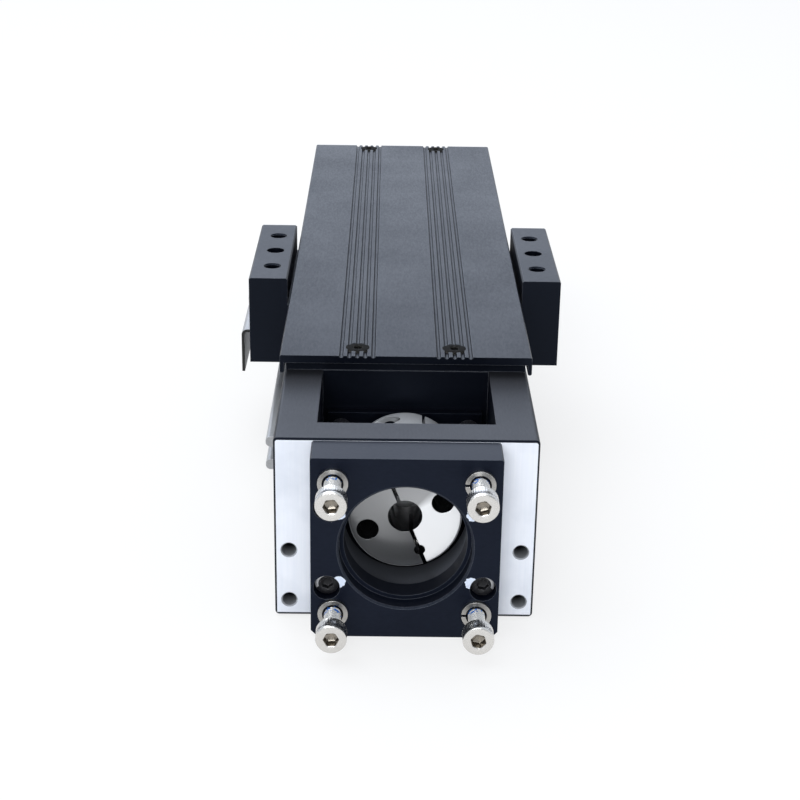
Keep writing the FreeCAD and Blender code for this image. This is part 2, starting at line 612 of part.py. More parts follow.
def ball_screw():
    """Stepped shaft: coupling journal, lock nut thread, bearing seat, shoulder, ball thread, rear journal."""
    body = body_of("ball_screw")
    steps = [("front_place + journal_start", "journal_width"),
             ("front_place + thread_end_start", "thread_end_width"),
             ("front_place + seat_back", "shoulder_width"),
             ("front_place + seat_back + shoulder_length", "screw_width"),
             ("rear_place + screw_end", "thread_end_width"), ("rear_seat", "journal_width"),
             ("rear_clip", "journal_width - clip_groove"), ("rear_clip + clip_thickness", "journal_width")]
    end = "rear_clip + clip_thickness + journal_end"
    corners = [(steps[0][0], "0")]
    for k, (start, width) in enumerate(steps):
        finish = steps[k + 1][0] if k + 1 < len(steps) else end
        corners += [(start, f"({width}) / 2"), (finish, f"({width}) / 2")]
    revolved(body, corners + [(end, "0")])
    node(on_axis(body, "0"), "ball_screw")


def bearing_rings(name, start, width, bore, inner_width):
    """One shielded bearing: its outer ring with both shields, and its inner ring."""
    outer = body_of(f"{name}_outer")
    seat, wall, shield = "seat_width / 2", "seat_width / 2 - ring_wall", f"{inner_width} / 2 + ring_gap"
    revolved(outer, [("0", seat), ("0", shield), ("shield_thickness", shield),
                     ("shield_thickness", wall), (f"{width} - shield_thickness", wall),
                     (f"{width} - shield_thickness", shield), (width, shield), (width, seat)])
    inner = body_of(f"{name}_inner")
    revolved(inner, [("0", f"{bore} / 2"), ("0", f"{inner_width} / 2"),
                     (width, f"{inner_width} / 2"), (width, f"{bore} / 2")])
    return on_axis(outer, start), on_axis(inner, start)


def bearings():
    first = "(front_place + seat_front)"
    pair = [bearing_rings(f"front_bearing_{k}", f"{first} + {k} * bearing_width", "bearing_width",
                          "thread_end_width", "inner_ring_width") for k in range(2)]
    node(group("front_outer_rings", [outer for outer, inner in pair]), "front_bearing_outer_rings")
    node(group("front_inner_rings", [inner for outer, inner in pair]), "front_bearing_inner_rings")
    outer, inner = bearing_rings("rear_bearing", "rear_seat", "rear_bearing_width",
                                 "journal_width", "rear_inner_ring_width")
    node(outer, "rear_bearing_outer_ring")
    node(inner, "rear_bearing_inner_ring")


def retaining_clips():
    """Open rings: one holds the rear bearing in its seat, one holds it on the journal."""
    for name, outside, inside in (("seat_clip", "seat_width + 2 * clip_groove", "clip_ring_width"),
                                  ("shaft_clip", "shaft_clip_width", "journal_width - clip_groove")):
        ring = rod(f"{name}_ring", outside, "clip_thickness")
        hole = rod(f"{name}_hole", inside, "clip_thickness")
        gap = bar(f"{name}_gap", ("-clip_gap / 2", "clip_gap / 2"), ("-seat_width", "0"),
                  ("0", "clip_thickness"))
        made = cut(f"{name}_cut", ring, [hole, gap])
        node(place(made, "y", "0", "rear_clip", "axis_height"), name)


def lock_nut():
    """Round nut with four spanner slots that clamps the inner rings."""
    body = body_of("lock_nut")
    revolved(body, [("0", "thread_end_width / 2"), ("0", "nut_outside / 2"),
                    ("nut_length", "nut_outside / 2"), ("nut_length", "thread_end_width / 2")])
    half, bottom = "nut_slot_width / 2", "nut_outside / 2 - nut_slot_depth"
    slots = [rectangle((f"-{half}", half), (bottom, "nut_outside")),
             rectangle((f"-{half}", half), ("-nut_outside", f"-({bottom})")),
             rectangle((bottom, "nut_outside"), (f"-{half}", half)),
             rectangle(("-nut_outside", f"-({bottom})"), (f"-{half}", half))]
    pocket(body, "XZ_Plane", "0", "nut_length", slots)
    node(on_axis(body, "front_place + seat_front - nut_length"), "lock_nut")


def bearing_cap():
    """Plate that holds the outer rings in their seat by a spigot."""
    body = body_of("bearing_cap")
    back = "(front_place + window_end)"
    half, tall = "cap_width / 2", "cap_height / 2"
    pad(body, "XZ_Plane", f"{back} - cap_thickness", back,
        [rectangle((f"-{half}", half), (f"axis_height - {tall}", f"axis_height + {tall}"))])
    pad(body, "XZ_Plane", back, "front_place + seat_front", circles=[("0", "axis_height", "seat_width")])
    pocket(body, "XZ_Plane", f"{back} - cap_thickness", "front_place + seat_front",
           circles=[("0", "axis_height", "cap_bore")])
    pocket(body, "XZ_Plane", f"{back} - cap_thickness", back,
           circles=around_axis("cap_screw_across", "cap_screw_up", "m_three_width + hole_clearance"))
    node(body, "bearing_cap")


def at_turn(radius, turn):
    """A place on a circle, turned clockwise from the top as the motor sees it."""
    return f"{radius} * sin({turn})", f"{radius} * cos({turn})"


def coupling_hub(name, large_turn, small_turn):
    """Clamp hub, outer end at its own origin: slit, two clearance holes, two tapped holes, two clamp screws."""
    body = body_of(name)
    outside = "coupling_width / 2"
    revolved(body, [("0", "journal_width / 2"), ("0", f"{outside} - hub_bevel"), ("hub_bevel", outside),
                    ("hub_length - hub_bevel", outside), ("hub_length", f"{outside} - hub_bevel"),
                    ("hub_length", "journal_width / 2")])
    pocket(body, "XZ_Plane", "0", "slit_depth",
           [rectangle(("-slit_width / 2", "slit_width / 2"), ("-coupling_width", "coupling_width"))])
    radius = "(bolt_circle / 2)"
    for turn, start, width in ((large_turn, "0", "relief_width"), (small_turn, "slit_depth", "small_bolt_width")):
        holes = [(*at_turn(f"{sign}{radius}", turn), width) for sign in ("", "-")]
        pocket(body, "XZ_Plane", start, "hub_length", circles=holes)
    for sign, low, high in (("", "clamp_seat", "coupling_width"), ("-", "-coupling_width", "-clamp_seat")):
        middle = [("clamp_back", f"{sign}clamp_up")]
        pocket(body, "YZ_Plane", low, high, circles=[(*middle[0], "clamp_counterbore")])
    pocket(body, "YZ_Plane", "-clamp_length + clamp_seat", "clamp_seat",
           circles=[("clamp_back", "clamp_up", "m_three_width")])
    pocket(body, "YZ_Plane", "-clamp_seat", "clamp_length - clamp_seat",
           circles=[("clamp_back", "-clamp_up", "m_three_width")])
    return body


def turned_about_axis(thing, start, turn, flipped):
    """Puts a coupling piece on the axis, turned about it, and end for end where it faces the rear."""
    flip = FreeCAD.Rotation(FreeCAD.Vector(0, 0, 1), 180 if flipped else 0)
    thing.Placement = FreeCAD.Placement(FreeCAD.Vector(),
                                        FreeCAD.Rotation(FreeCAD.Vector(0, 1, 0), turn).multiply(flip))
    return on_axis(thing, start)


def coupling():
    """Two clamp hubs joined by a thin disc, with bolts to each hub in turn."""
    front_turn, rear_turn = -size("front_slit_angle"), size("rear_slit_angle")
    start = "(front_place + coupling_start)"
    end = f"({start} + 2 * hub_length + hub_gap)"
    both = "(front_slit_angle + rear_slit_angle)"
    front = coupling_hub("coupling_front_hub", "90", "0")
    pocket(front, "XZ_Plane", "0", "relief_mouth_depth",
           circles=[("0", f"{sign}bolt_circle / 2", "relief_mouth_width") for sign in ("", "-")])
    node(turned_about_axis(front, start, front_turn, False), "coupling_front_hub")
    rear = coupling_hub("coupling_rear_hub", both, f"({both} - 90)")
    node(turned_about_axis(rear, end, rear_turn, True), "coupling_rear_hub")
    pairs = []
    for name, place_y, turn, flipped in (("front", start, front_turn, False), ("rear", end, rear_turn, True)):
        screws = [cap_screw(f"{name}_clamp_{k}", "m_three", "clamp_length - m_three_width", "m_three_width",
                            along, f"{sign}(clamp_seat + m_three_width)", "clamp_back", f"{sign}clamp_up")
                  for k, (along, sign) in enumerate((("-x", ""), ("x", "-")))]
        pairs.append(turned_about_axis(group(f"{name}_clamp_pair", screws), place_y, turn, flipped))
    node(group("clamp_screws", pairs), "coupling_clamp_screws")
    middle = "(hub_gap / 2)"
    disc = rod("disc_plate", "disc_width", "disc_thickness", "y", "0", f"{middle} - disc_thickness / 2")
    hole = rod("disc_hole", "disc_bore", "disc_thickness", "y", "0", f"{middle} - disc_thickness / 2")
    bushes, passages, bolts = [], [], []
    for k, turn in enumerate((0, 180, 90, 270)):
        x, z = at_turn("(bolt_circle / 2)", str(turn))
        to_front = turn in (0, 180)
        low = "0" if to_front else f"{middle} + disc_thickness / 2"
        bushes.append(rod(f"bush_{k}", "bush_width", f"{middle} - disc_thickness / 2", "y", x, low, z))
        passages.append(rod(f"passage_{k}", "small_bolt_width", "hub_gap", "y", x, "0", z))
        along, side = ("-y", "+") if to_front else ("y", "-")
        head_face = f"{middle} {side} (disc_thickness / 2 + small_bolt_width)"
        bolts.append(cap_screw(f"disc_bolt_{k}", "small_bolt", "bolt_length", "small_bolt_width",
                               along, x, head_face, z))
    pack = cut("disc_pack", fuse("disc_pack_blank", [disc] + bushes), [hole] + passages)
    node(turned_about_axis(pack, f"{start} + hub_length", front_turn, False), "coupling_disc")
    node(turned_about_axis(group("disc_bolts", bolts), f"{start} + hub_length", front_turn, False),
         "coupling_bolts")


# Carriage: what the screw drives along the rail

def along_carriage(low, high):
    """Two places measured from the carriage's middle."""
    return f"carriage_place + {low}", f"carriage_place + {high}"


def inner_block():
    """Steel nut block between the rail's walls, bored for the screw, with a ball groove for each row."""
    body = body_of("inner_block")
    start, end = along_carriage("(-block_length / 2)", "(block_length / 2)")
    pad(body, "XZ_Plane", start, end,
        [rectangle(("-block_width / 2", "block_width / 2"), ("block_bottom", "table_seat"))])
    dress(body, "Chamfer", "block_bevel",
          lambda edge: runs_along(edge, 1) and near(edge.Vertexes[0].Z, size("block_bottom")))
    pocket(body, "XZ_Plane", start, end, circles=[("0", "axis_height", "screw_width + 2 * nut_clearance")])
    pocket(body, "XZ_Plane", start, end,
           circles=[(f"{side}ball_place", up, "ball_width") for side in ("", "-")
                    for up in ("ball_lower", "ball_upper")])
    spots = [(f"{side}table_screw_across", f"carriage_place {sign} table_screw_pitch / 2", "m_five_width")
             for side in ("", "-") for sign in "+-"]
    pocket(body, "XY_Plane", "table_seat - block_thread_depth", "table_seat", circles=spots)
    node(body, "inner_block")


def end_piece(name, low, high, inset, bore):
    body = body_of(name)
    start, end = along_carriage(low, high)
    half = f"(block_width / 2 - {inset})"
    pad(body, "XZ_Plane", start, end,
        [rectangle((f"-{half}", half), (f"block_bottom + {inset}", f"table_seat - {inset}"))])
    dress(body, "Chamfer", "block_bevel",
          lambda edge: runs_along(edge, 1) and edge.Vertexes[0].Z < size("axis_height"))
    pocket(body, "XZ_Plane", start, end, circles=[("0", "axis_height", bore)])
    return body


def end_caps():
    """Ball return caps at both ends of the block, each with a thin wiper."""
    block, cap, seal = "block_length / 2", "end_cap_length", "seal_length"
    node(end_piece("front_end_cap", f"(-{block} - {cap})", f"(-{block})", "end_cap_inset",
                   "screw_width + 2 * cap_clearance"), "front_end_cap")
    node(end_piece("rear_end_cap", f"({block})", f"({block} + {cap})", "end_cap_inset",
                   "screw_width + 2 * cap_clearance"), "rear_end_cap")
    seals = [end_piece("front_seal", f"(-{block} - {cap} - {seal})", f"(-{block} - {cap})", "0", "screw_width + 2 * seal_clearance"),
             end_piece("rear_seal", f"({block} + {cap})", f"({block} + {cap} + {seal})", "0", "screw_width + 2 * seal_clearance")]
    node(group("end_seals", seals), "end_seals")


def ball_rows():
    """The four rows of guide balls, each row as one rod of the balls' width."""
    rows = [rod(f"ball_row_{k}", "ball_width", "block_length - 2 * ball_row_inset", "y",
                f"{side}ball_place", "carriage_place - block_length / 2 + ball_row_inset", up)
            for k, (side, up) in enumerate([(side, up) for side in ("", "-")
                                            for up in ("ball_lower", "ball_upper")])]
    node(group("ball_rows", rows), "ball_rows")


def carriage_table():
    """Aluminium table: a web under the cover and an upright block outside each of its lips."""
    body = body_of("carriage_table")
    start, end = along_carriage("(-table_length / 2)", "(table_length / 2)")
    outside, inside = "table_width / 2", "table_inside / 2"
    right = [(inside, "table_seat"), (inside, "table_bottom"), (outside, "table_bottom"),
             (outside, "table_top"), (inside, "table_top"), (inside, "table_web_top")]
    left = [(f"-{across}", up) for across, up in reversed(right)]
    pad(body, "XZ_Plane", start, end, [right + left])
    dress(body, "Chamfer", "table_bevel",
          lambda edge: runs_along(edge, 1) and near(edge.Vertexes[0].Z, size("table_top")))
    threads = [(f"{side}table_hole_place", f"carriage_place {sign} table_hole_pitch", "table_thread_width")
               for side in ("", "-") for sign in "+-"]
    dowels = [(f"{side}table_hole_place", "carriage_place", "table_dowel_width") for side in ("", "-")]
    pocket(body, "XY_Plane", "table_top - table_thread_depth", "table_top", circles=threads)
    pocket(body, "XY_Plane", "table_top - table_dowel_depth", "table_top", circles=dowels)
    dress(body, "Chamfer", "table_bevel",
          lambda edge: is_round(edge, size("table_thread_width"))
          and near(edge.Vertexes[0].Z, size("table_top")))
    spots = [(f"{side}table_screw_across", f"carriage_place {sign} table_screw_pitch / 2")
             for side in ("", "-") for sign in "+-"]
    pocket(body, "XY_Plane", "table_seat", "table_web_top",
           circles=[(*spot, "m_five_width + hole_clearance") for spot in spots])
    pocket(body, "XY_Plane", "table_web_top - m_five_width - table_head_sink", "table_web_top",
           circles=[(*spot, "table_counterbore") for spot in spots])
    pocket(body, "YZ_Plane", "-table_width / 2", "-table_width / 2 + flag_screw_length",
           circles=[(f"flag_place + flag_length / 2 {sign} flag_screw_pitch / 2", "flag_screw_up", "m_two_width")
                    for sign in "+-"])
    node(body, "carriage_table")
    head = "table_web_top - table_head_sink"
    screws = [cap_screw(f"table_screw_{k}", "m_five", "table_screw_length", "m_five_width", "-z", x, y, head)
              for k, (x, y) in enumerate(spots)]
    node(group("table_screws", screws), "table_screws")


def sensor_flag():
    """Thin strip: a leg on the table's left side, a shelf, and a blade hanging past the sensor rail."""
    body = body_of("sensor_flag")
    wall, leg = "-table_width / 2", "-table_width / 2 - flag_sheet"
    outer, inner = "-table_width / 2 - flag_reach", "-table_width / 2 - flag_reach + flag_sheet"
    under = "flag_shelf - flag_sheet"
    pad(body, "XZ_Plane", "flag_place", "flag_place + flag_length",
        [[(wall, "flag_high"), (leg, "flag_high"), (leg, "flag_shelf"), (outer, "flag_shelf"),
          (outer, "flag_bottom"), (inner, "flag_bottom"), (inner, under), (wall, under)]])
    reach = size("table_width") / 2 + size("flag_reach")
    shelf, sheet_width = size("flag_shelf"), size("flag_sheet")
    dress(body, "Fillet", "flag_bend",
          lambda edge: runs_along(edge, 1) and near(edge.Vertexes[0].X, reach)
          and near(edge.Vertexes[0].Z, shelf))
    dress(body, "Fillet", "flag_bend - flag_sheet",
          lambda edge: runs_along(edge, 1) and near(edge.Vertexes[0].X, reach - sheet_width)
          and near(edge.Vertexes[0].Z, shelf - sheet_width))
    spots = [(f"flag_place + flag_length / 2 {sign} flag_screw_pitch / 2", "flag_screw_up") for sign in "+-"]
    pocket(body, "YZ_Plane", leg, wall, circles=[(*spot, "m_two_width") for spot in spots])
    node(body, "sensor_flag")
    screws = [cap_screw(f"flag_screw_{k}", "m_two", "flag_screw_length", "flag_head_depth", "x",
                        f"{leg} - flag_head_depth", y, z) for k, (y, z) in enumerate(spots)]
    node(group("flag_screws", screws), "flag_screws")


outer_rail()
motor_housing()
rear_housing()
motor_plate()
top_cover()
fixed_screws()
sensor_rail()
rubber_stop("front_stop", "-rear_place", "-rear_place + stop_length")
rubber_stop("rear_stop", "rear_place - stop_length", "rear_place")
ball_screw()
bearings()
retaining_clips()
lock_nut()
bearing_cap()
coupling()
inner_block()
end_caps()
ball_rows()
carriage_table()
sensor_flag()
document.recompute()

for thing in document.Objects:
    if {"Invalid", "Error"} & set(thing.State):
        raise ValueError(f"{thing.Label} is not sound: {thing.State}")
for thing in nodes:
    if thing.Shape.isNull() or not thing.Shape.isValid():
        raise ValueError(f"{thing.Label} has no valid shape")

os.makedirs("parts", exist_ok=True)
for thing in nodes:
    thing.Shape.exportStep(os.path.join("parts", f"{thing.Label}.step"))
    box = thing.Shape.BoundBox
    print(f"{thing.Label}: {len(thing.Shape.Solids)} solids, {thing.Shape.Volume:.0f} mm3,"
          f" X {box.XMin:.1f} {box.XMax:.1f}, Y {box.YMin:.1f} {box.YMax:.1f}, Z {box.ZMin:.1f} {box.ZMax:.1f}")
print(f"{len(nodes)} nodes")
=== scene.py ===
import bmesh
import bpy
import json
import math
from mathutils import Matrix, Vector


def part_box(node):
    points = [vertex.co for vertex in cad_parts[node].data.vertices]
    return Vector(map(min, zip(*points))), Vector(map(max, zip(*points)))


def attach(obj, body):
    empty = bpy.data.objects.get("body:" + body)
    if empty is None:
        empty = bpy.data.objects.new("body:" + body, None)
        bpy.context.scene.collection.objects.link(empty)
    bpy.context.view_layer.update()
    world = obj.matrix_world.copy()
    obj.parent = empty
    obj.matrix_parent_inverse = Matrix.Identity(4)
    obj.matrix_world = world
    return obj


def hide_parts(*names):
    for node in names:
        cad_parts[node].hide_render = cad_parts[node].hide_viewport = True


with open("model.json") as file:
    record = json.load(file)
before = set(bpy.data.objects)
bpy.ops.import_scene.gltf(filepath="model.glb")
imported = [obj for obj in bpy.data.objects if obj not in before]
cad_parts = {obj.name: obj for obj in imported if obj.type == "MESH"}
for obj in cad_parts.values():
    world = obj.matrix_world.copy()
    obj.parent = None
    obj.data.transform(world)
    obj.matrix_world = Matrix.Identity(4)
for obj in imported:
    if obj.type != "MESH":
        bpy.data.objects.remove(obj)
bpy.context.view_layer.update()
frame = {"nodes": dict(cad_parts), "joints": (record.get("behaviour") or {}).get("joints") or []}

nodes = frame["nodes"]

# Outer rail
# The U-shaped backbone of the stage: one length of bearing steel, milled and ground inside for
# the balls, then coated black. Screws from below hold both housings to its floor.

mm = 0.001


def add(tree, kind, inputs=None, **settings):
    """Adds a node: a socket or a measure among the inputs is joined to, anything else is a set value."""
    made = tree.nodes.new(kind)
    for word, value in settings.items():
        setattr(made, word, value)
    for word, value in (inputs or {}).items():
        fill(tree, made.inputs[word], value)
    return made


def fill(tree, socket, value):
    """Joins a socket to another one or to a measure, or sets it."""
    value = value.socket if isinstance(value, Measure) else value
    if isinstance(value, bpy.types.NodeSocket):
        tree.links.new(value, socket)
    else:
        socket.default_value = value


class Measure:
    """A number that a tree works out for each spot, so that a rule for a finish or a shape reads as a sum.

    A comparison gives a mask, which is 1 or 0. Between masks, & means both and | means either.
    """

    def __init__(self, tree, socket):
        self.tree, self.socket = tree, socket

    def worked(self, operation, *values):
        """What a Math node makes of this number and the others."""
        made = add(self.tree, "ShaderNodeMath", dict(enumerate((self, *values))), operation=operation)
        return Measure(self.tree, made.outputs[0])

    def __add__(self, other):
        return self.worked("ADD", other)

    def __sub__(self, other):
        return self.worked("SUBTRACT", other)

    def __rsub__(self, other):
        return (self - other) * -1

    def __mul__(self, other):
        return self.worked("MULTIPLY", other)

    def __truediv__(self, other):
        return self.worked("DIVIDE", other)

    def __mod__(self, other):
        return self.worked("MODULO", other)

    def __pow__(self, other):
        return self.worked("POWER", other)

    def __abs__(self):
        return self.worked("ABSOLUTE")

    def __lt__(self, other):
        return self.worked("LESS_THAN", other)

    def __gt__(self, other):
        return self.worked("GREATER_THAN", other)

    def __and__(self, other):
        return self.worked("MULTIPLY", other)

    def __or__(self, other):
        return self.at_least(other)

    def at_least(self, other):
        return self.worked("MAXIMUM", other)

    def at_most(self, other):
        return self.worked("MINIMUM", other)

    def ramp(self, low, high, first=0.0, last=1.0):
        """Goes from the first value to the last while this goes from low to high."""
        made = add(self.tree, "ShaderNodeMapRange", {0: self, 1: low, 2: high, 3: first, 4: last})
        return Measure(self.tree, made.outputs[0])


def span(first, second):
    """How far a spot is from where both measures are nothing."""
    return (first ** 2 + second ** 2).worked("SQRT")


def blend_colours(tree, share, first, second):
    """A colour between two others."""
    made = add(tree, "ShaderNodeMix", data_type="RGBA")
    for socket, value in ((0, share), (6, first), (7, second)):
        fill(tree, made.inputs[socket], value)
    return made.outputs[2]


def on_object(tree):
    """Where a spot is in the stage, in metres."""
    return add(tree, "ShaderNodeTexCoord").outputs["Object"]


def grain_of(tree, place, scale, detail, roughness=0.5):
    """An uneven measure about 0.5, finer for a larger scale."""
    made = add(tree, "ShaderNodeTexNoise", {"Vector": place, "Scale": scale, "Detail": detail,
                                            "Roughness": roughness})
    return Measure(tree, made.outputs[0])


def split_up(tree, vector):
    """The three parts of a vector."""
    parts = add(tree, "ShaderNodeSeparateXYZ", {0: vector}).outputs
    return [Measure(tree, part) for part in parts]


def at_place(tree):
    """Where a spot is in the stage, in millimetres: across, along and up."""
    larger = add(tree, "ShaderNodeVectorMath", {0: on_object(tree), 3: 1 / mm}, operation="SCALE")
    return split_up(tree, larger.outputs[0])


def facing(tree):
    """The way the surface faces: across, along and up."""
    return split_up(tree, add(tree, "ShaderNodeNewGeometry").outputs["Normal"])


def shader_of(material):
    """A finish's tree, its shader's inputs, and what is joined to them so far."""
    tree = material.node_tree
    inputs = tree.nodes["Principled BSDF"].inputs
    joined = {socket.name: socket.links[0].from_socket for socket in inputs if socket.links}
    return tree, inputs, joined


def plain_finish(name, dark, light, rough, metal=0.0, ior=1.45, tint=(1, 1, 1), stretch=(1, 1, 1), grain=900,
                 bump=0.05, edge=None, round_off=0.2):
    """A plain surface: a fine grain drawn out along the cut, uneven gloss, and a painted highlight along its
    edges.
    """
    material = bpy.data.materials.new(name)
    material.use_nodes = True
    tree, inputs, _ = shader_of(material)
    place = on_object(tree)
    drawn = add(tree, "ShaderNodeMapping", {"Vector": place, "Scale": stretch}).outputs[0]
    fine = grain_of(tree, drawn, grain, 4, 0.65)
    both = fine * 0.65 + grain_of(tree, place, 45, 2) * 0.35
    colour = blend_colours(tree, both.ramp(0.3, 0.7), (*dark, 1), (*light, 1))
    rounded = add(tree, "ShaderNodeBevel", {"Radius": round_off * mm}, samples=6).outputs[0]
    # Where an edge colour is given, it is a painted highlight along the rounded edges.
    if edge:
        plain = add(tree, "ShaderNodeNewGeometry").outputs["Normal"]
        turn = add(tree, "ShaderNodeVectorMath", {0: rounded, 1: plain}, operation="DOT_PRODUCT")
        glinting = Measure(tree, turn.outputs["Value"]).ramp(0.985, 0.85)
        colour = blend_colours(tree, glinting, colour, (*edge, 1))
    relief = add(tree, "ShaderNodeBump", {"Strength": bump, "Distance": 0.1 * mm, "Height": fine,
                                          "Normal": rounded}).outputs[0]
    gloss = both.ramp(0.3, 0.7, *rough)
    for word, value in (("Base Color", colour), ("Roughness", gloss), ("Normal", relief), ("Metallic", metal),
                        ("IOR", ior), ("Specular Tint", (*tint, 1))):
        fill(tree, inputs[word], value)
    return material


def bare_where(material, mask, colour, metal):
    """Shows this colour instead where the mask is 1, metallic by the given share."""
    tree, inputs, joined = shader_of(material)
    fill(tree, inputs["Base Color"], blend_colours(tree, mask, joined["Base Color"], colour))
    fill(tree, inputs["Metallic"], mask * metal)


def sides(node):
    """Where the sides of a CAD piece's box are, in millimetres."""
    places = [round(place / mm, 3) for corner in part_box(node) for place in corner]
    return dict(zip(("left", "front", "bottom", "right", "back", "top"), places))


def finish_node(name, material):
    """Gives a CAD piece its finish."""
    mesh = nodes[name].data
    mesh.materials.clear()
    mesh.materials.append(material)


black_steel = plain_finish("black coated steel", (0.005, 0.006, 0.01), (0.009, 0.0105, 0.016), (0.28, 0.38),
                           ior=1.3, tint=(0.7, 0.8, 1.0), stretch=(1, 0.05, 1), grain=1400,
                           edge=(0.2, 0.205, 0.22))
across, along, up = at_place(black_steel.node_tree)
wall_side, groove_middle, groove_rise, groove_reach = 20.0, 22.75, 4.75, 1.75
raceway = span(abs(across) - wall_side, abs(up - groove_middle) - groove_rise) < groove_reach
bare_where(black_steel, raceway, (0.55, 0.55, 0.56, 1), 1.0)
finish_node("outer_rail", black_steel)

# Motor housing
# An aluminium block milled into a box open at the top, anodised black before its front face is
# cut, so that face is bare. A tongue under it takes two screws from below the rail.


def black_anodised(name, stretch=(1, 1, 1), rough=(0.3, 0.42), bump=0.06, edge=(0.15, 0.16, 0.18),
                   paleness=0.45):
    """Aluminium dyed black in its bath, with the cutter's marks still in it and a paler painted highlight
    along its edges.
    """
    dark = [paleness * part for part in (0.002, 0.003, 0.0075)]
    light = [paleness * part for part in (0.005, 0.0068, 0.014)]
    return plain_finish(name, dark, light, rough, ior=1.28, tint=(0.62, 0.74, 1.0), stretch=stretch,
                        grain=2200, bump=bump, edge=edge)


screw_spin = next(joint for joint in frame["joints"] if joint["name"] == "screw_spin")
screw_height = round(screw_spin["pos_m"][2] / mm, 3)
housing_front = sides("motor_housing")["front"]
face_cut, dark_foot_band, block_top = housing_front + 0.03, 0.75, 38
housing_black = black_anodised("housing anodised black", stretch=(1, 0.2, 1), rough=(0.38, 0.5))
tree = housing_black.node_tree
across, along, up = at_place(tree)
# The bottom 0.75 mm of the face stays black: it stands for a black chamfer there and, in part, for painted
# contact shade.
front_cut = (along < face_cut) & (up > dark_foot_band)
# The bare face is brushed up and down, and dull in patches where it was handled.
stroke = add(tree, "ShaderNodeMapping", {"Vector": on_object(tree), "Scale": (1, 1, 0.03)}).outputs[0]
brushed = grain_of(tree, stroke, 1800, 3)
handled = grain_of(tree, on_object(tree), 70, 4).ramp(0.45, 0.65, 0.0, 0.4)
silver = blend_colours(tree, brushed, (0.82, 0.85, 0.92, 1), (0.94, 0.95, 0.99, 1))
silver = blend_colours(tree, handled, silver, (0.6, 0.635, 0.7, 1))
# The upward faces of the open top are painted paler than the walls, as painted light.
painted_lit_top = (facing(tree)[2] > 0.9) & (up > block_top)
bare_where(housing_black, painted_lit_top, (0.034, 0.035, 0.04, 1), 0.0)
# The bores are painted darker than the face, as painted shade, and the four threads get painted shade that
# deepens with their depth.
lift = up - screw_height
front_bore, front_bore_end, bearing_bore = 14.55, housing_front + 9.3, 11.05
shaded_bores = (span(across, lift) < front_bore) & (along < front_bore_end)
shaded_bores = shaded_bores | (span(across, lift) < bearing_bore)
thread_side, thread_middle, thread_rise, thread_reach = 26.65, -11.95, 6.45, 2.1
tapped = span(abs(across) - thread_side, abs(lift - thread_middle) - thread_rise) < thread_reach
thread_end, lit_from, lit_to = housing_front + 10.5, housing_front + 0.5, housing_front + 5.5
tapped = tapped & (along > face_cut + 0.01) & (along < thread_end)
thread_shade = along.ramp(lit_from, lit_to)
shaded_thread_wall = blend_colours(tree, thread_shade, (0.42, 0.43, 0.45, 1), (0.015, 0.016, 0.02, 1))
silver = blend_colours(tree, shaded_bores, silver, (0.07, 0.074, 0.085, 1))
silver = blend_colours(tree, tapped, silver, shaded_thread_wall)
bare_where(housing_black, front_cut | (shaded_bores | tapped), silver, 0.15)
finish_node("motor_housing", housing_black)

# Motor plate
# A thick aluminium adapter, bored and stepped for the motor's round pilot, with four tapped holes
# for the motor's screws. Bare metal shows where its small screw pockets run near the pilot.

plate_black = black_anodised("plate anodised black", stretch=(0.4, 1, 1), edge=(0.11, 0.12, 0.14),
                             paleness=1.0)
tree, inputs, joined = shader_of(plate_black)
across, along, up = at_place(tree)
across, lift = abs(across), abs(up - screw_height)
ragged = grain_of(tree, on_object(tree), 1500, 3)
plate_front = sides("motor_plate")["front"]
chip_side, chip_rise, chip_reach, chip_depth = 14.9, 8.5, 1.95, plate_front + 0.05
chipped = (span(across - chip_side, lift - chip_rise) + ragged < chip_reach) & (along < chip_depth)
# A faint, uneven painted highlight runs round the rim of the pilot's bore.
rim_reach, rim_depth, rim_highlight_share = 15.46, plate_front + 0.47, 0.05
from_axis = span(across, lift)
rim_highlight = (from_axis < rim_reach) & (along < rim_depth) & (ragged * rim_highlight_share)
pocket_side, pocket_rise, pocket_reach, pocket_floor = 17.65, 10.0, 3.02, plate_front + 5
seat = span(across - pocket_side, lift - pocket_rise) < pocket_reach
seat = seat & (abs(along - pocket_floor) < 0.05)
bare_where(plate_black, chipped | rim_highlight | seat, (0.72, 0.78, 0.9, 1), 0.2)
bore_reach, bore_front = 15.2, plate_front + 0.2
bore_wall = (from_axis < bore_reach) & (along > bore_front)
fill(tree, inputs["Roughness"], Measure(tree, joined["Roughness"]).at_least(bore_wall * 0.62))
finish_node("motor_plate", plate_black)

# Rear housing
# The aluminium block that closes the far end and carries the single rear bearing, milled and
# anodised black like the other one, and held from below by two screws of the rail.

finish_node("rear_housing", black_anodised("rear housing anodised black", stretch=(1, 0.2, 1)))

# Top cover
# An extruded aluminium strip over the whole rail, fixed at both ends, with two groups of five
# grooves along its top and a lip down each side, anodised black.

cover_black = black_anodised("cover anodised black", stretch=(1, 0.25, 1), rough=(0.28, 0.45), bump=0.04)
finish_node("top_cover", cover_black)

# Ball screw
# A 12 mm right-hand screw with 10 mm lead, ground from bearing steel. Its turned ends carry the
# front bearing pair and lock nut, the rear bearing and its clip, and the coupling.

ground_steel = plain_finish("ground bearing steel", (0.5, 0.5, 0.51), (0.72, 0.72, 0.73), (0.16, 0.3),
                            metal=1.0, ior=1.5, stretch=(0.3, 6, 0.3), grain=500, bump=0.03,
                            edge=(0.85, 0.85, 0.86), round_off=0.1)


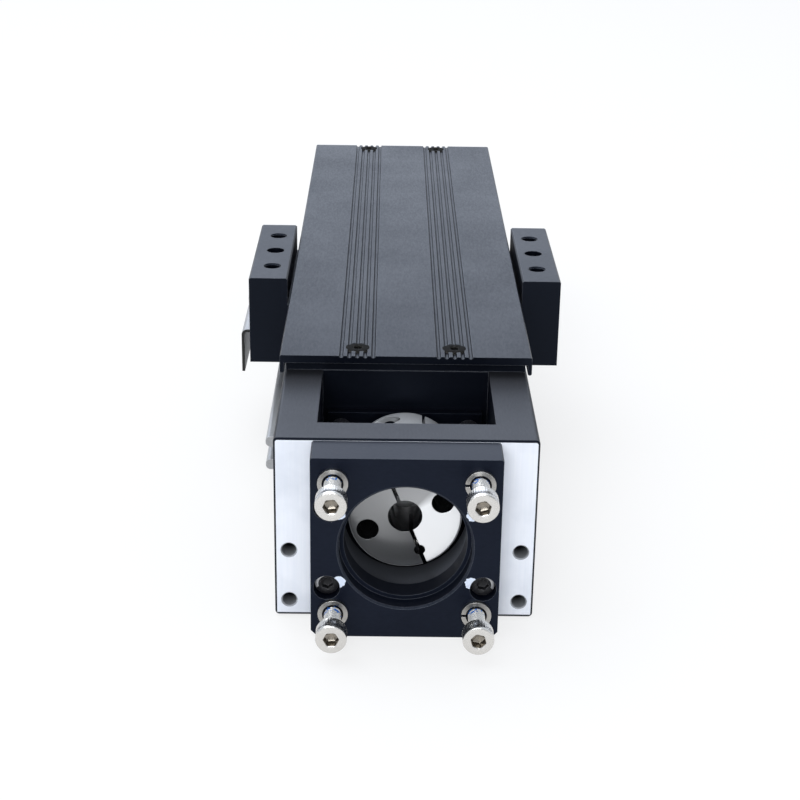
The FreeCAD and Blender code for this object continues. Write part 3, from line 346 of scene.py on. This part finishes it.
def new_tree(name, sizes, counts):
    """An empty node tree with named sizes and counts and a finish as its inputs, and those inputs."""
    tree = bpy.data.node_groups.new(name, "GeometryNodeTree")
    tree.interface.new_socket("Geometry", in_out="OUTPUT", socket_type="NodeSocketGeometry")
    kinds = {"Geometry": "Geometry", **dict.fromkeys(sizes, "Float"), **dict.fromkeys(counts, "Int"),
             "Finish": "Material"}
    for word, kind in kinds.items():
        tree.interface.new_socket(word, in_out="INPUT", socket_type=f"NodeSocket{kind}")
    given = tree.nodes.new("NodeGroupInput").outputs
    return tree, {word: Measure(tree, given[word]) for word in kinds}


def end_tree(tree, geometry, finish):
    """Makes instances real, gives the finish and hands the shape out."""
    real = add(tree, "GeometryNodeRealizeInstances", {"Geometry": geometry}).outputs[0]
    dressed = add(tree, "GeometryNodeSetMaterial", {"Geometry": real, "Material": finish}).outputs[0]
    tree.links.new(dressed, tree.nodes.new("NodeGroupOutput").inputs[0])


def turned_sheet(tree, sides, rows):
    """A flat sheet to be rolled up: its mesh, each point's angle, and each point's row number."""
    last_row = rows - 1
    sheet = add(tree, "GeometryNodeMeshGrid", {"Size X": 1.0, "Size Y": last_row,
                                               "Vertices X": sides, "Vertices Y": rows}).outputs[0]
    x, y, _ = split_up(tree, add(tree, "GeometryNodeInputPosition").outputs[0])
    return sheet, (x + 0.5) * (2 * math.pi), (y + last_row / 2).worked("ROUND")


def rolled(tree, sheet, angle, radius, height):
    """The sheet rolled about Z, its seam and its ends closed."""
    x, y = radius * angle.worked("COSINE"), radius * angle.worked("SINE")
    spot = add(tree, "ShaderNodeCombineXYZ", {0: x, 1: y, 2: height}).outputs[0]
    shape = add(tree, "GeometryNodeSetPosition", {"Geometry": sheet, "Position": spot}).outputs[0]
    return add(tree, "GeometryNodeMergeByDistance", {"Geometry": shape, "Distance": 0.002 * mm}).outputs[0]


def ends_closed(radius, row, rows):
    """The radius, but nothing at the first and the last row, so the roll has a cap at each end."""
    return radius * ((row > 0.5) & (row < rows - 1.5))


def grown(name, spots, tree, values):
    """Runs a tree on a mesh of bare points, each with the way it faces, and keeps the plain mesh."""
    mesh = bpy.data.meshes.new(name)
    mesh.from_pydata([spot[:3] for spot in spots], [], [])
    ways = mesh.attributes.new("facing", "FLOAT_VECTOR", "POINT")
    for k, spot in enumerate(spots):
        ways.data[k].vector = spot[3:] or (0, 0, 1)
    host = bpy.data.objects.new(f"{name}_host", mesh)
    bpy.context.scene.collection.objects.link(host)
    change = host.modifiers.new("shape", "NODES")
    change.node_group = tree
    for item in tree.interface.items_tree:
        if item.in_out == "INPUT" and item.name in values:
            change[item.identifier] = values[item.name]
    host.update_tag()
    seen = bpy.context.evaluated_depsgraph_get()
    made = bpy.data.meshes.new_from_object(host.evaluated_get(seen))
    bpy.data.objects.remove(host)
    return placed(name, made, 35)


def placed(name, mesh, smooth):
    """Puts a finished mesh in the scene, shaded smooth up to an angle in degrees."""
    mesh.name = name
    mesh.shade_smooth()
    mesh.set_sharp_from_angle(angle=math.radians(smooth))
    piece = bpy.data.objects.new(name, mesh)
    bpy.context.scene.collection.objects.link(piece)
    return piece


screw_tree, given = new_tree("ball screw", ("Start", "Length", "Width", "Lead", "Ball radius", "Ball path"),
                             ("Sides", "Rows"))
sheet, angle, row = turned_sheet(screw_tree, given["Sides"], given["Rows"])
height = row * (given["Length"] / (given["Rows"] - 1))
turns = height / given["Lead"] - angle / (2 * math.pi)
offset = ((turns + 8).worked("FRACT") - 0.5) * given["Lead"]
dip = (given["Ball radius"] ** 2 - offset ** 2).at_least(0.0).worked("SQRT")
radius = (given["Width"] * 0.5).at_most(given["Ball path"] - dip)
body = rolled(screw_tree, sheet, angle, ends_closed(radius, row, given["Rows"]), height)
start = add(screw_tree, "ShaderNodeCombineXYZ", {1: given["Start"], 2: screw_height * mm}).outputs[0]
laid = add(screw_tree, "GeometryNodeTransform", {"Geometry": body, "Translation": start,
                                                 "Rotation": (-math.pi / 2, 0, 0)}).outputs[0]
end_tree(screw_tree, laid, given["Finish"])


def lathe(name, profile, material, sides=96):
    """A turned piece about the screw's axis, from (place along it, radius) in millimetres."""
    work = bmesh.new()
    turns = [2 * math.pi * k / sides for k in range(sides)]
    rings = []
    for along, radius in profile:
        if radius == 0:
            rings.append([work.verts.new((0, along * mm, screw_height * mm))] * sides)
            continue
        rings.append([work.verts.new((radius * mm * math.sin(turn), along * mm,
                                      (screw_height + radius * math.cos(turn)) * mm)) for turn in turns])
    for low, high in zip(rings, rings[1:]):
        for k in range(sides):
            corners = list(dict.fromkeys((low[k - 1], low[k], high[k], high[k - 1])))
            if len(corners) > 2:
                work.faces.new(corners)
    bmesh.ops.recalc_face_normals(work, faces=work.faces)
    mesh = bpy.data.meshes.new(name)
    work.to_mesh(mesh)
    work.free()
    mesh.materials.append(material)
    return placed(name, mesh, 30)


thread_part = grown("ball_screw_thread", [(0, 0, 0)], screw_tree,
                    {"Start": -91.155 * mm, "Length": 185.01 * mm, "Width": 12 * mm, "Lead": 10 * mm,
                     "Ball radius": 1.65 * mm, "Ball path": 6.325 * mm, "Sides": 73, "Rows": 520,
                     "Finish": ground_steel})
front_end = lathe("ball_screw_front_end",
                  [(-123, 0), (-123, 3.7), (-122.7, 4), (-109.7, 4), (-109.7, 4.7), (-109.4, 5),
                   (-92.8, 5), (-92.8, 6.6), (-92.6, 6.8), (-91, 6.8), (-90.8, 6.6), (-90.8, 5.6),
                   (-90.7, 0)], ground_steel)
rear_end = lathe("ball_screw_rear_end",
                 [(93.4, 0), (93.5, 4.6), (93.5, 4.9), (93.6, 5), (95.2, 5), (95.2, 4), (102.2, 4),
                  (102.2, 3.75), (103.2, 3.75), (103.2, 4), (103.6, 4), (103.8, 3.8), (103.8, 0)],
                 ground_steel)
for part in (thread_part, front_end, rear_end):
    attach(part, "screw")
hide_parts("ball_screw")

# Bearings and lock nut
# Two angular ball bearings side by side at the front, held by a slotted lock nut, and one plain
# ball bearing at the rear. Rings and nut are turned and ground from bearing steel.

shield_steel = plain_finish("bearing steel", (0.42, 0.42, 0.43), (0.6, 0.6, 0.61), (0.2, 0.32), metal=1.0,
                            ior=1.5, grain=1500, bump=0.03, edge=(0.8, 0.8, 0.8), round_off=0.1)
for name in ("front_bearing_outer_rings", "front_bearing_inner_rings", "rear_bearing_outer_ring",
             "rear_bearing_inner_ring", "lock_nut"):
    finish_node(name, shield_steel)


def put_at(tree, points, shape, **more):
    """A shape at every point."""
    inputs = {"Points": points, "Instance": shape, **more}
    return add(tree, "GeometryNodeInstanceOnPoints", inputs).outputs[0]


def balls_at(tree, points, width):
    """A ball at every point."""
    ball = add(tree, "GeometryNodeMeshIcoSphere", {"Radius": width * 0.5, "Subdivisions": 3}).outputs[0]
    return put_at(tree, points, ball)


ball_tree, given = new_tree("ring of balls", ("Path radius", "Ball width"), ("Count",))
ring = add(ball_tree, "GeometryNodeMeshCircle", {"Vertices": given["Count"], "Radius": given["Path radius"]})
circle = balls_at(ball_tree, ring.outputs[0], given["Ball width"])
upright = add(ball_tree, "GeometryNodeTransform", {"Geometry": circle, "Rotation": (math.pi / 2, 0, 0)})
end_tree(ball_tree, put_at(ball_tree, given["Geometry"], upright.outputs[0]), given["Finish"])
pair, single = sides("front_bearing_inner_rings"), sides("rear_bearing_inner_ring")
quarter, half = (pair["back"] - pair["front"]) / 4, (single["back"] - single["front"]) / 2
pair_middles, single_middle = (pair["front"] + quarter, pair["back"] - quarter), (single["front"] + half,)
for name, places, path, width, count in (("front_bearing_balls", pair_middles, 7.95, 2.4, 15),
                                         ("rear_bearing_balls", single_middle, 7.5, 3.0, 9)):
    balls = grown(name, [(0, y * mm, screw_height * mm) for y in places], ball_tree,
                  {"Path radius": path * mm, "Ball width": width * mm, "Count": count,
                   "Finish": ground_steel})
    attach(balls, "screw")

# Bearing cap
# A flat aluminium plate that holds the front bearings' outer rings in, anodised black and
# screwed on from inside the coupling window.

finish_node("bearing_cap", black_anodised("cap anodised black", edge=(0.02, 0.022, 0.03)))

# Retaining clips
# Rings stamped from spring steel, sprung into grooves of the rear seat and of the screw's end,
# where they keep the rear bearing in.

spring_steel = plain_finish("spring steel", (0.3, 0.29, 0.28), (0.45, 0.44, 0.43), (0.25, 0.4), metal=1.0,
                            ior=1.5, grain=1200, edge=(0.6, 0.6, 0.6), round_off=0.1)
for name in ("seat_clip", "shaft_clip"):
    finish_node(name, spring_steel)

# Coupling
# Two clamp hubs turned from bright aluminium, slit from the outer end, joined by a pack of thin
# spring steel discs. The front hub waits for the motor's shaft and its face is turned in rings.

hub_bright = plain_finish("turned hub aluminium", (0.66, 0.67, 0.69), (0.74, 0.75, 0.77), (0.16, 0.24),
                          metal=0.45, ior=1.5, grain=1600, bump=0.03, edge=(0.9, 0.91, 0.93),
                          round_off=0.15)
tree, inputs, joined = shader_of(hub_bright)
across, along, up = at_place(tree)
lift = up - screw_height
front_hub, rear_hub = sides("coupling_front_hub"), sides("coupling_rear_hub")
hub_face, hub_back, rings_per_mm = front_hub["front"] + 0.04, front_hub["back"] + 0.1, 9.0
slit_degrees, half_slit, bolt_circle = 22, 0.46, 9.4
outward, onward = span(across, lift) * rings_per_mm, along * rings_per_mm
rings = grain_of(tree, add(tree, "ShaderNodeCombineXYZ", {0: outward, 1: onward}).outputs[0], 1.0, 2)
cut = add(tree, "ShaderNodeBump", {"Strength": 0.06, "Distance": 0.05 * mm, "Height": rings,
                                   "Normal": joined["Normal"]}).outputs[0]
# The sheen of light on turned rings is painted into the face's colour as a fan, which goes once round the
# face, from dark to bright.
front_face = (facing(tree)[1] < -0.7) & (along < hub_face + 0.06)
fan_start = math.radians(292)
share = ((fan_start - lift.worked("ARCTAN2", across)) / (2 * math.pi)).worked("FRACT")
fan = add(tree, "ShaderNodeValToRGB", {0: share})
marks = fan.color_ramp.elements
marks[0].position, marks[0].color = 0.0, (0.13, 0.132, 0.137, 1)
marks[1].position, marks[1].color = 1.0, (0.98, 0.98, 0.99, 1)
for place, shade in ((0.31, 0.26), (0.5, 0.37), (0.68, 0.42), (0.73, 0.97)):
    marks.new(place).color = (shade, shade * 1.01, shade * 1.03, 1)
colour = blend_colours(tree, front_face, joined["Base Color"], fan.outputs[0])
# The slit and the hub's holes are painted dark inside, as painted shade.
slit_cosine, slit_sine = math.cos(math.radians(slit_degrees)), math.sin(math.radians(slit_degrees))
cross_slit = abs(across * slit_cosine + lift * slit_sine)
on_slit = abs(lift * slit_cosine - across * slit_sine)
shaded_hollows = cross_slit < half_slit
for first, second, reach in ((bolt_circle, 0.0, 2.62), (0.0, bolt_circle, 1.32), (0.0, 0.0, 4.02)):
    shaded_hollows = shaded_hollows | (span(cross_slit - first, on_slit - second) < reach)
shaded_hollows = shaded_hollows & (along > hub_face) & (along < hub_back)
# The brightest part of the fan leans up a little, towards the light.
lit_sector = share.ramp(0.69, 0.75) * front_face
lean = add(tree, "ShaderNodeCombineXYZ", {2: lit_sector * 0.2}).outputs[0]
leaned = add(tree, "ShaderNodeVectorMath", {0: cut, 1: lean}, operation="ADD").outputs[0]
leaned = add(tree, "ShaderNodeVectorMath", {0: leaned}, operation="NORMALIZE").outputs[0]
fill(tree, inputs["Base Color"], blend_colours(tree, shaded_hollows, colour, (0.02, 0.02, 0.022, 1)))
fill(tree, inputs["Metallic"], front_face.ramp(0, 1, 0.45, 0.55))
fill(tree, inputs["Roughness"], Measure(tree, joined["Roughness"]) * front_face.ramp(0, 1, 1.0, 0.85))
fill(tree, inputs["Normal"], leaned)
for name in ("coupling_front_hub", "coupling_rear_hub"):
    finish_node(name, hub_bright)
finish_node("coupling_disc", spring_steel)

# Inner block
# The nut of the ball screw and the rail's own guide block in one, ground from steel, with black
# plastic end caps that turn the balls round, and rubber seals that wipe the rail and the screw.

block_steel = plain_finish("ground block steel", (0.34, 0.34, 0.35), (0.52, 0.52, 0.53), (0.22, 0.34),
                           metal=1.0, ior=1.5, stretch=(1, 0.04, 1), grain=1500, edge=(0.7, 0.7, 0.7))
finish_node("inner_block", block_steel)
black_plastic = plain_finish("moulded black plastic", (0.014, 0.014, 0.016), (0.024, 0.024, 0.027),
                             (0.45, 0.6), grain=700, bump=0.15)
for name in ("front_end_cap", "rear_end_cap"):
    finish_node(name, black_plastic)
black_rubber = plain_finish("black rubber", (0.012, 0.012, 0.012), (0.02, 0.02, 0.02), (0.7, 0.85), grain=500,
                            bump=0.3)
finish_node("end_seals", black_rubber)

# Guide balls
# Four rows of hardened steel balls that roll between the block's grooves and the rail's, two rows
# on each side, and come back through the end caps.

row_tree, given = new_tree("row of balls", ("Ball width", "Pitch"), ("Count",))
step = add(row_tree, "ShaderNodeCombineXYZ", {1: given["Pitch"]}).outputs[0]
line = add(row_tree, "GeometryNodeMeshLine", {"Count": given["Count"], "Offset": step}).outputs[0]
string = balls_at(row_tree, line, given["Ball width"])
end_tree(row_tree, put_at(row_tree, given["Geometry"], string), given["Finish"])
groove_radius = 1.6
first_ball = sides("ball_rows")["front"] + groove_radius
row_starts = [(x * mm, first_ball * mm, z * mm) for x in (-wall_side, wall_side)
              for z in (groove_middle - groove_rise, groove_middle + groove_rise)]
guide_balls = grown("guide_balls", row_starts, row_tree,
                    {"Ball width": 3.175 * mm, "Pitch": 3.233 * mm, "Count": 13, "Finish": ground_steel})
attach(guide_balls, "carriage")
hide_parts("ball_rows")

# Table
# An aluminium table screwed down on the block: a web under the cover and an upright on each side
# with threads and a dowel hole, milled all over and anodised black.

finish_node("carriage_table", black_anodised("table anodised black", stretch=(0.3, 1, 1)))

# Sensor flag
# A thin strip sheared from sheet steel, bent twice and screwed to the table's left upright. Its
# sheared edges are dark and its faces bright.

flag_steel = plain_finish("flag steel", (0.3, 0.3, 0.31), (0.45, 0.45, 0.46), (0.35, 0.5), metal=0.7,
                          ior=1.4)
tree, inputs, joined = shader_of(flag_steel)
sheared = abs(facing(tree)[1]) > 0.7
fill(tree, inputs["Base Color"], blend_colours(tree, sheared, joined["Base Color"], (0.03, 0.03, 0.03, 1)))
finish_node("sensor_flag", flag_steel)

# Sensor rail
# A slotted aluminium extrusion that holds the end and home sensors, clear anodised, sawn to
# length and screwed to the rail's left side.

plain_aluminium = plain_finish("clear anodised aluminium", (0.36, 0.365, 0.375), (0.5, 0.505, 0.515),
                               (0.35, 0.5), metal=0.6, stretch=(1, 0.02, 1), grain=1800, bump=0.08,
                               edge=(0.75, 0.76, 0.78), round_off=0.12)
finish_node("sensor_rail", plain_aluminium)

# Rubber stops
# Black rubber pads, cut from sheet and stuck to both housings' inner faces, which the block meets
# at each end of its way.

for name in ("front_stop", "rear_stop"):
    finish_node(name, black_rubber)

# Screws
# Socket head screws: turned heads with knurled sides, a broached hexagon and a rolled thread. One
# tree makes them all, some in stainless steel and some in steel with a black oxide coat.

cap_tree, given = new_tree("socket head screw",
                           ("Head width", "Foot width", "Head depth", "Socket", "Socket depth",
                            "Thread width", "Pitch", "Length", "Cut", "Knurl"),
                           ("Head sides", "Thread sides", "Rows", "Seed"))
half_head, half_foot = given["Head width"] * 0.5, given["Foot width"] * 0.5
depth, knurl, across_flats = given["Head depth"], given["Knurl"], given["Socket"]
head_rows = 13
sheet, angle, row = turned_sheet(cap_tree, given["Head sides"], head_rows)
from_flat = angle % (math.pi / 3) - math.pi / 6
hexagon = across_flats * 0.5 / from_flat.worked("COSINE")
knurled = half_head - abs((angle * 18).worked("SINE")) * knurl
round_rim = given["Head width"] * 0.065
foot_rise, plain_top = half_head - half_foot, depth - round_rim * 2
socket_floor = depth - given["Socket depth"]
stations = [
    (0.0, 0.0),
    (half_foot, 0.0),
    (half_head, foot_rise),
    (knurled, foot_rise + knurl),
    (knurled, plain_top),
    (half_head, plain_top + knurl),
    (half_head, depth - round_rim),
    (half_head - round_rim * 0.29, depth - round_rim * 0.29),
    (half_head - round_rim, depth),
    (across_flats * 0.61, depth),
    (hexagon, depth - across_flats * 0.06),
    (hexagon, socket_floor),
    (0.0, socket_floor - across_flats * 0.2),
]


def picked(tree, number, choices):
    """The choice that stands at a number."""
    switch = add(tree, "GeometryNodeIndexSwitch", data_type="FLOAT")
    while len(switch.index_switch_items) < len(choices):
        switch.index_switch_items.new()
    for k, value in enumerate((number, *choices)):
        fill(tree, switch.inputs[k], value)
    return Measure(tree, switch.outputs[0])


head = rolled(cap_tree, sheet, angle, *(picked(cap_tree, row, column) for column in zip(*stations)))
sheet, angle, row = turned_sheet(cap_tree, given["Thread sides"], given["Rows"])
down = ((row - 1) / (given["Rows"] - 3) * given["Length"]).at_least(0.0).at_most(given["Length"])
phase = down / given["Pitch"] + angle / (2 * math.pi)
vee = abs(phase.worked("FRACT") * 2 - 1).at_most(0.85)
tip = given["Thread width"] * 0.39 + (given["Length"] - down)
shank = (given["Thread width"] * 0.5 - vee * given["Cut"]).at_most(tip)
thread = rolled(cap_tree, sheet, angle, ends_closed(shank, row, given["Rows"]), down * -1)
thread = add(cap_tree, "GeometryNodeFlipFaces", {"Mesh": thread}).outputs[0]
whole = add(cap_tree, "GeometryNodeJoinGeometry")
for part in (head, thread):
    fill(cap_tree, whole.inputs[0], part)
way = add(cap_tree, "GeometryNodeInputNamedAttribute", {"Name": "facing"}, data_type="FLOAT_VECTOR")
aim = add(cap_tree, "FunctionNodeAlignRotationToVector", {"Vector": way.outputs[0]}, axis="Z").outputs[0]
chance = add(cap_tree, "FunctionNodeRandomValue", {"Seed": given["Seed"], 2: 0.0, 3: 2 * math.pi},
             data_type="FLOAT")
about_way = add(cap_tree, "ShaderNodeCombineXYZ", {2: chance.outputs[1]}).outputs[0]
spin = add(cap_tree, "FunctionNodeEulerToRotation", {0: about_way}).outputs[0]
turned = add(cap_tree, "FunctionNodeRotateRotation", {0: aim, 1: spin}, rotation_space="LOCAL").outputs[0]
end_tree(cap_tree, put_at(cap_tree, given["Geometry"], whole.outputs[0], Rotation=turned), given["Finish"])

stainless = plain_finish("stainless screw steel", (0.62, 0.605, 0.58), (0.72, 0.705, 0.68), (0.22, 0.3),
                         metal=1.0, ior=1.5, grain=2500, bump=0.015, edge=(0.9, 0.89, 0.87),
                         round_off=0.12)
black_oxide = plain_finish("black oxide screw steel", (0.012, 0.012, 0.015), (0.024, 0.024, 0.028),
                           (0.38, 0.5), ior=1.3, grain=1500, edge=(0.16, 0.16, 0.17), round_off=0.12)
dull_oxide = plain_finish("dull black oxide", (0.006, 0.006, 0.006), (0.014, 0.0135, 0.013), (0.6, 0.75),
                          ior=1.1, grain=1200, bump=0.12, edge=(0.12, 0.115, 0.105), round_off=0.12)
glinting_oxide = plain_finish("worn black oxide", (0.008, 0.008, 0.01), (0.018, 0.018, 0.021), (0.3, 0.42),
                          ior=1.33, grain=1500, edge=(0.3, 0.3, 0.31), round_off=0.12)
# The plate screws' heads get a painted highlight on the upper outer part of the face, outside the middle, and
# a brighter painted edge highlight.
across, along, up = at_place(glinting_oxide.node_tree)
outward = abs(across) - pocket_side
upward = (up - (screw_height - 2 * pocket_rise)) % (2 * pocket_rise) - pocket_rise
hexagon_reach, head_front, glint_line = 1.95, pocket_floor - 1.8, 1.2
head_glint = (span(outward, upward) > hexagon_reach) & (along < head_front) & (outward + upward > glint_line)
bare_where(glinting_oxide, head_glint, (0.5, 0.5, 0.51, 1), 0.5)

bolt_side, motor_head = 16.263, 4
head_foot = sides("motor_screws")["front"] + motor_head


def off_motor_screw(tree):
    """How far a spot is from the middle line of the nearest motor screw, and where it is along the stage."""
    across, along, up = at_place(tree)
    return span(abs(across) - bolt_side, abs(up - screw_height) - bolt_side), along


motor_steel = stainless.copy()
motor_steel.name = "motor screw steel"
tree, inputs, joined = shader_of(motor_steel)
middle, along = off_motor_screw(tree)
socket_reach, socket_end, head_front = 1.78, head_foot - 1, head_foot - 3.9
# Inside the sockets the steel is painted darker, as painted shade.
socket_shade = (middle < socket_reach) & (along < socket_end) & (along > head_front)
ragged = grain_of(tree, on_object(tree), 1100, 3)
locker_from = plate_front - 2.1
thread_locker = (along + ragged > locker_from) & (ragged > 0.55)
colour = blend_colours(tree, socket_shade, joined["Base Color"], (0.27, 0.245, 0.21, 1))
fill(tree, inputs["Base Color"], blend_colours(tree, thread_locker, colour, (0.03, 0.13, 0.42, 1)))
fill(tree, inputs["Metallic"], 1 - thread_locker)


def screws(name, body, material, size, head, spots, length, socket, fine=False, foot=None,
           depth=None, pitch=0.5, seed=1):
    """The same screw at each spot: the place under its head, in millimetres, and the way its head faces."""
    depth = depth or size
    piece = grown(f"{name}_threaded", [(x * mm, y * mm, z * mm, *way) for x, y, z, way in spots], cap_tree, {
        "Head width": head * mm, "Foot width": (foot or head * 0.94) * mm, "Head depth": depth * mm,
        "Socket": socket * mm, "Socket depth": depth * 0.55 * mm, "Thread width": (size - 0.02) * mm,
        "Pitch": pitch * mm, "Length": length * mm, "Cut": pitch * 0.5 * mm,
        "Knurl": (0.09 if fine else 0.03) * mm, "Head sides": 109 if fine else 49,
        "Thread sides": 37 if fine else 17,
        "Rows": int(length / pitch * (8 if fine else 4)) + 3, "Seed": seed, "Finish": material})
    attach(piece, body)
    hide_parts(name)


corners = [(a, b) for a in (1, -1) for b in (1, -1)]
to_front, to_left, up_way, down_way = (0, -1, 0), (-1, 0, 0), (0, 0, 1), (0, 0, -1)
screws("motor_screws", "stage", motor_steel, motor_head, 7,
       [(a * bolt_side, head_foot, screw_height + b * bolt_side, to_front) for a, b in corners],
       16, 3, fine=True, pitch=0.7, seed=4)
screws("plate_screws", "stage", glinting_oxide, 3, 5.5,
       [(a * pocket_side, pocket_floor, screw_height + b * pocket_rise, to_front) for a, b in corners],
       10, 2.5, seed=2)
cover_side, cover_head = 11.9, 1.7
cover_seat = sides("cover_screws")["top"] - cover_head
screws("cover_screws", "stage", dull_oxide, 3, 6,
       [(a * cover_side, y, cover_seat, up_way) for a in (1, -1) for y in (-103.4, 99)],
       4.3, 2, foot=3, depth=cover_head, seed=7)
base_side, base_reach, base_head = 10, 85, 4
base_seat = sides("rail_screws")["bottom"] + base_head
screws("rail_screws", "stage", stainless, base_head, 7,
       [(a * base_side, b * base_reach, base_seat, down_way) for a, b in corners],
       8, 3, pitch=0.7, seed=3)
cap_side, cap_rise, cap_front = 15.8, 8, sides("bearing_cap")["front"]
screws("bearing_cap_screws", "stage", black_oxide, 3, 5.5,
       [(a * cap_side, cap_front, screw_height + b * cap_rise, to_front) for a, b in corners],
       8, 2.5, seed=5)
channel_height, channel_head = 15.1, 1
channel_wall = sides("sensor_rail_screws")["left"] + channel_head
screws("sensor_rail_screws", "stage", stainless, 2, 3.4,
       [(channel_wall, y, channel_height, to_left) for y in (-70, 0, 70)],
       5, 1.3, depth=channel_head, pitch=0.4, seed=6)
web_side, web_reach, web_middle, web_head = 13, 16, -31.2, 5
web_seat = sides("table_screws")["top"] - web_head
screws("table_screws", "carriage", stainless, web_head, 8.5,
       [(a * web_side, web_middle + b * web_reach, web_seat, up_way) for a, b in corners],
       12, 4, pitch=0.8, seed=8)
flag_height, flag_head = 40, 0.8
flag_side = sides("flag_screws")["left"] + flag_head
screws("flag_screws", "carriage", stainless, 2, 3.4,
       [(flag_side, y, flag_height, to_left) for y in (-38, -26)],
       5, 1.3, depth=flag_head, pitch=0.4, seed=9)

# Coupling screws
# Each hub is drawn tight on its shaft by two screws across its slit, and small bolts join the
# disc pack to one hub and to the other in turn.


def about_axis(x, y, z, way, turn):
    """Turns a spot and its facing about the screw's axis, in degrees."""
    roll = Matrix.Rotation(math.radians(turn), 3, "Y")
    spot = roll @ Vector((x, 0, z))
    return spot.x, y, spot.z + screw_height, tuple(roll @ Vector(way))


clamp_offset, clamp_depth, clamp_rise = 3, 4.2, 9
clamps = [about_axis(inward * side * clamp_offset, face + inward * clamp_depth, side * clamp_rise,
                     (inward * side, 0, 0), turn)
          for face, inward, turn in ((front_hub["front"], 1, -slit_degrees), (rear_hub["back"], -1, 20))
          for side in (1, -1)]
screws("coupling_clamp_screws", "screw", stainless, 3, 5.5, clamps, 9, 2.5, seed=11)
disc_middle, half_pack = (front_hub["back"] + rear_hub["front"]) / 2, 0.5
joins = [about_axis(x, disc_middle + side * half_pack, z, (0, side, 0), -slit_degrees)
         for x, z, side in ((0, bolt_circle, 1), (0, -bolt_circle, 1), (bolt_circle, 0, -1),
                            (-bolt_circle, 0, -1))]
screws("coupling_bolts", "screw", black_oxide, 2.5, 4.4, joins, 6, 2, pitch=0.45, seed=12)

# Lock washers
# Split spring washers of bright steel under the motor screws' heads, cut from wire and hardened,
# dark where their inner edge lies in shadow.

washer_steel = plain_finish("lock washer steel", (0.36, 0.35, 0.335), (0.46, 0.45, 0.43), (0.24, 0.34),
                            metal=1.0, ior=1.5, grain=2500, bump=0.02, edge=(0.82, 0.81, 0.79),
                            round_off=0.1)
tree, inputs, joined = shader_of(washer_steel)
# The inner edge is painted dark, as painted shadow.
inner_reach = 2.42
inner_edge = off_motor_screw(tree)[0] < inner_reach
colour = blend_colours(tree, inner_edge, joined["Base Color"], (0.015, 0.015, 0.018, 1))
fill(tree, inputs["Base Color"], colour)
finish_node("lock_washers", washer_steel)

# Floor, light and camera
# A white table under soft lamps from above, behind and in front, seen from a little above the
# motor end. To the camera the table glows a little, so that it reads as plain white.

bpy.ops.mesh.primitive_plane_add(size=6, location=(0, 0, -0.02 * mm))
floor = bpy.context.object
floor.name = "floor"
paper = bpy.data.materials.new("white paper")
paper.use_nodes = True
tree = paper.node_tree
tree.nodes.clear()
rays = add(tree, "ShaderNodeLightPath").outputs
seen, mirrored, let_through = (Measure(tree, rays[f"Is {kind} Ray"])
                               for kind in ("Camera", "Glossy", "Transmission"))
matt = add(tree, "ShaderNodeBsdfDiffuse", {"Color": (0.8, 0.8, 0.8, 1)}).outputs[0]
glow = add(tree, "ShaderNodeEmission", {"Color": (1, 1, 1, 1), "Strength": 1.0}).outputs[0]
mixed = add(tree, "ShaderNodeMixShader", {0: (seen | mirrored | let_through) * 0.75, 1: matt, 2: glow})
tree.links.new(mixed.outputs[0], tree.nodes.new("ShaderNodeOutputMaterial").inputs[0])
floor.data.materials.append(paper)

world = bpy.data.worlds.new("studio")
bpy.context.scene.world = world
world.use_nodes = True
tree = world.node_tree
tree.nodes.clear()
frontward = split_up(tree, add(tree, "ShaderNodeTexCoord").outputs["Generated"])[1]
brightness = frontward.ramp(-0.2, -0.9, 1.0, 0.3) * 0.9
sky = add(tree, "ShaderNodeBackground", {"Color": (0.86, 0.92, 1, 1), "Strength": brightness}).outputs[0]
white = add(tree, "ShaderNodeBackground", {"Color": (1, 1, 1, 1), "Strength": 1.0}).outputs[0]
seen = add(tree, "ShaderNodeLightPath").outputs["Is Camera Ray"]
mixed = add(tree, "ShaderNodeMixShader", {0: seen, 1: sky, 2: white})
tree.links.new(mixed.outputs[0], tree.nodes.new("ShaderNodeOutputWorld").inputs[0])

cool, neutral = (0.72, 0.81, 1.0), (0.96, 0.98, 1.0)
stage_middle = Vector((0, -0.05, 0.02))
for name, place, power, size, colour in (("overhead", (-0.25, 0.15, 0.9), 6.0, 0.9, neutral),
                                         ("behind", (-0.2, 1.3, 0.75), 4.4, 1.1, cool),
                                         ("front fill", (-0.12, -1.03, 0.4), 4.8, 0.5, neutral)):
    lamp = bpy.data.objects.new(name, bpy.data.lights.new(name, "AREA"))
    lamp.visible_camera = False
    lamp.data.energy, lamp.data.size, lamp.data.color = power, size, colour
    lamp.location = place
    lamp.rotation_euler = (stage_middle - Vector(place)).to_track_quat("-Z", "Y").to_euler()
    bpy.context.scene.collection.objects.link(lamp)

camera = bpy.data.objects.new("camera", bpy.data.cameras.new("camera"))
camera.data.lens, camera.data.sensor_width = 76.11, 36
camera.data.clip_start, camera.data.clip_end = 0.01, 20
pitch, yaw, roll = math.radians(22.35), math.radians(0.52), math.radians(0.90)
ahead = Vector((math.sin(yaw) * math.cos(pitch), math.cos(yaw) * math.cos(pitch), -math.sin(pitch)))
level = ahead.cross(Vector((0, 0, 1))).normalized()
upright = level.cross(ahead)
right = level * math.cos(roll) + upright * math.sin(roll)
above = upright * math.cos(roll) - level * math.sin(roll)
stand = Matrix((right, above, -ahead)).transposed().to_4x4()
stand.translation = Vector((-4.82, -494.27, 196.94)) * mm
camera.matrix_world = stand
bpy.context.scene.collection.objects.link(camera)
bpy.context.scene.camera = camera
bpy.context.scene.view_settings.view_transform = "Standard"
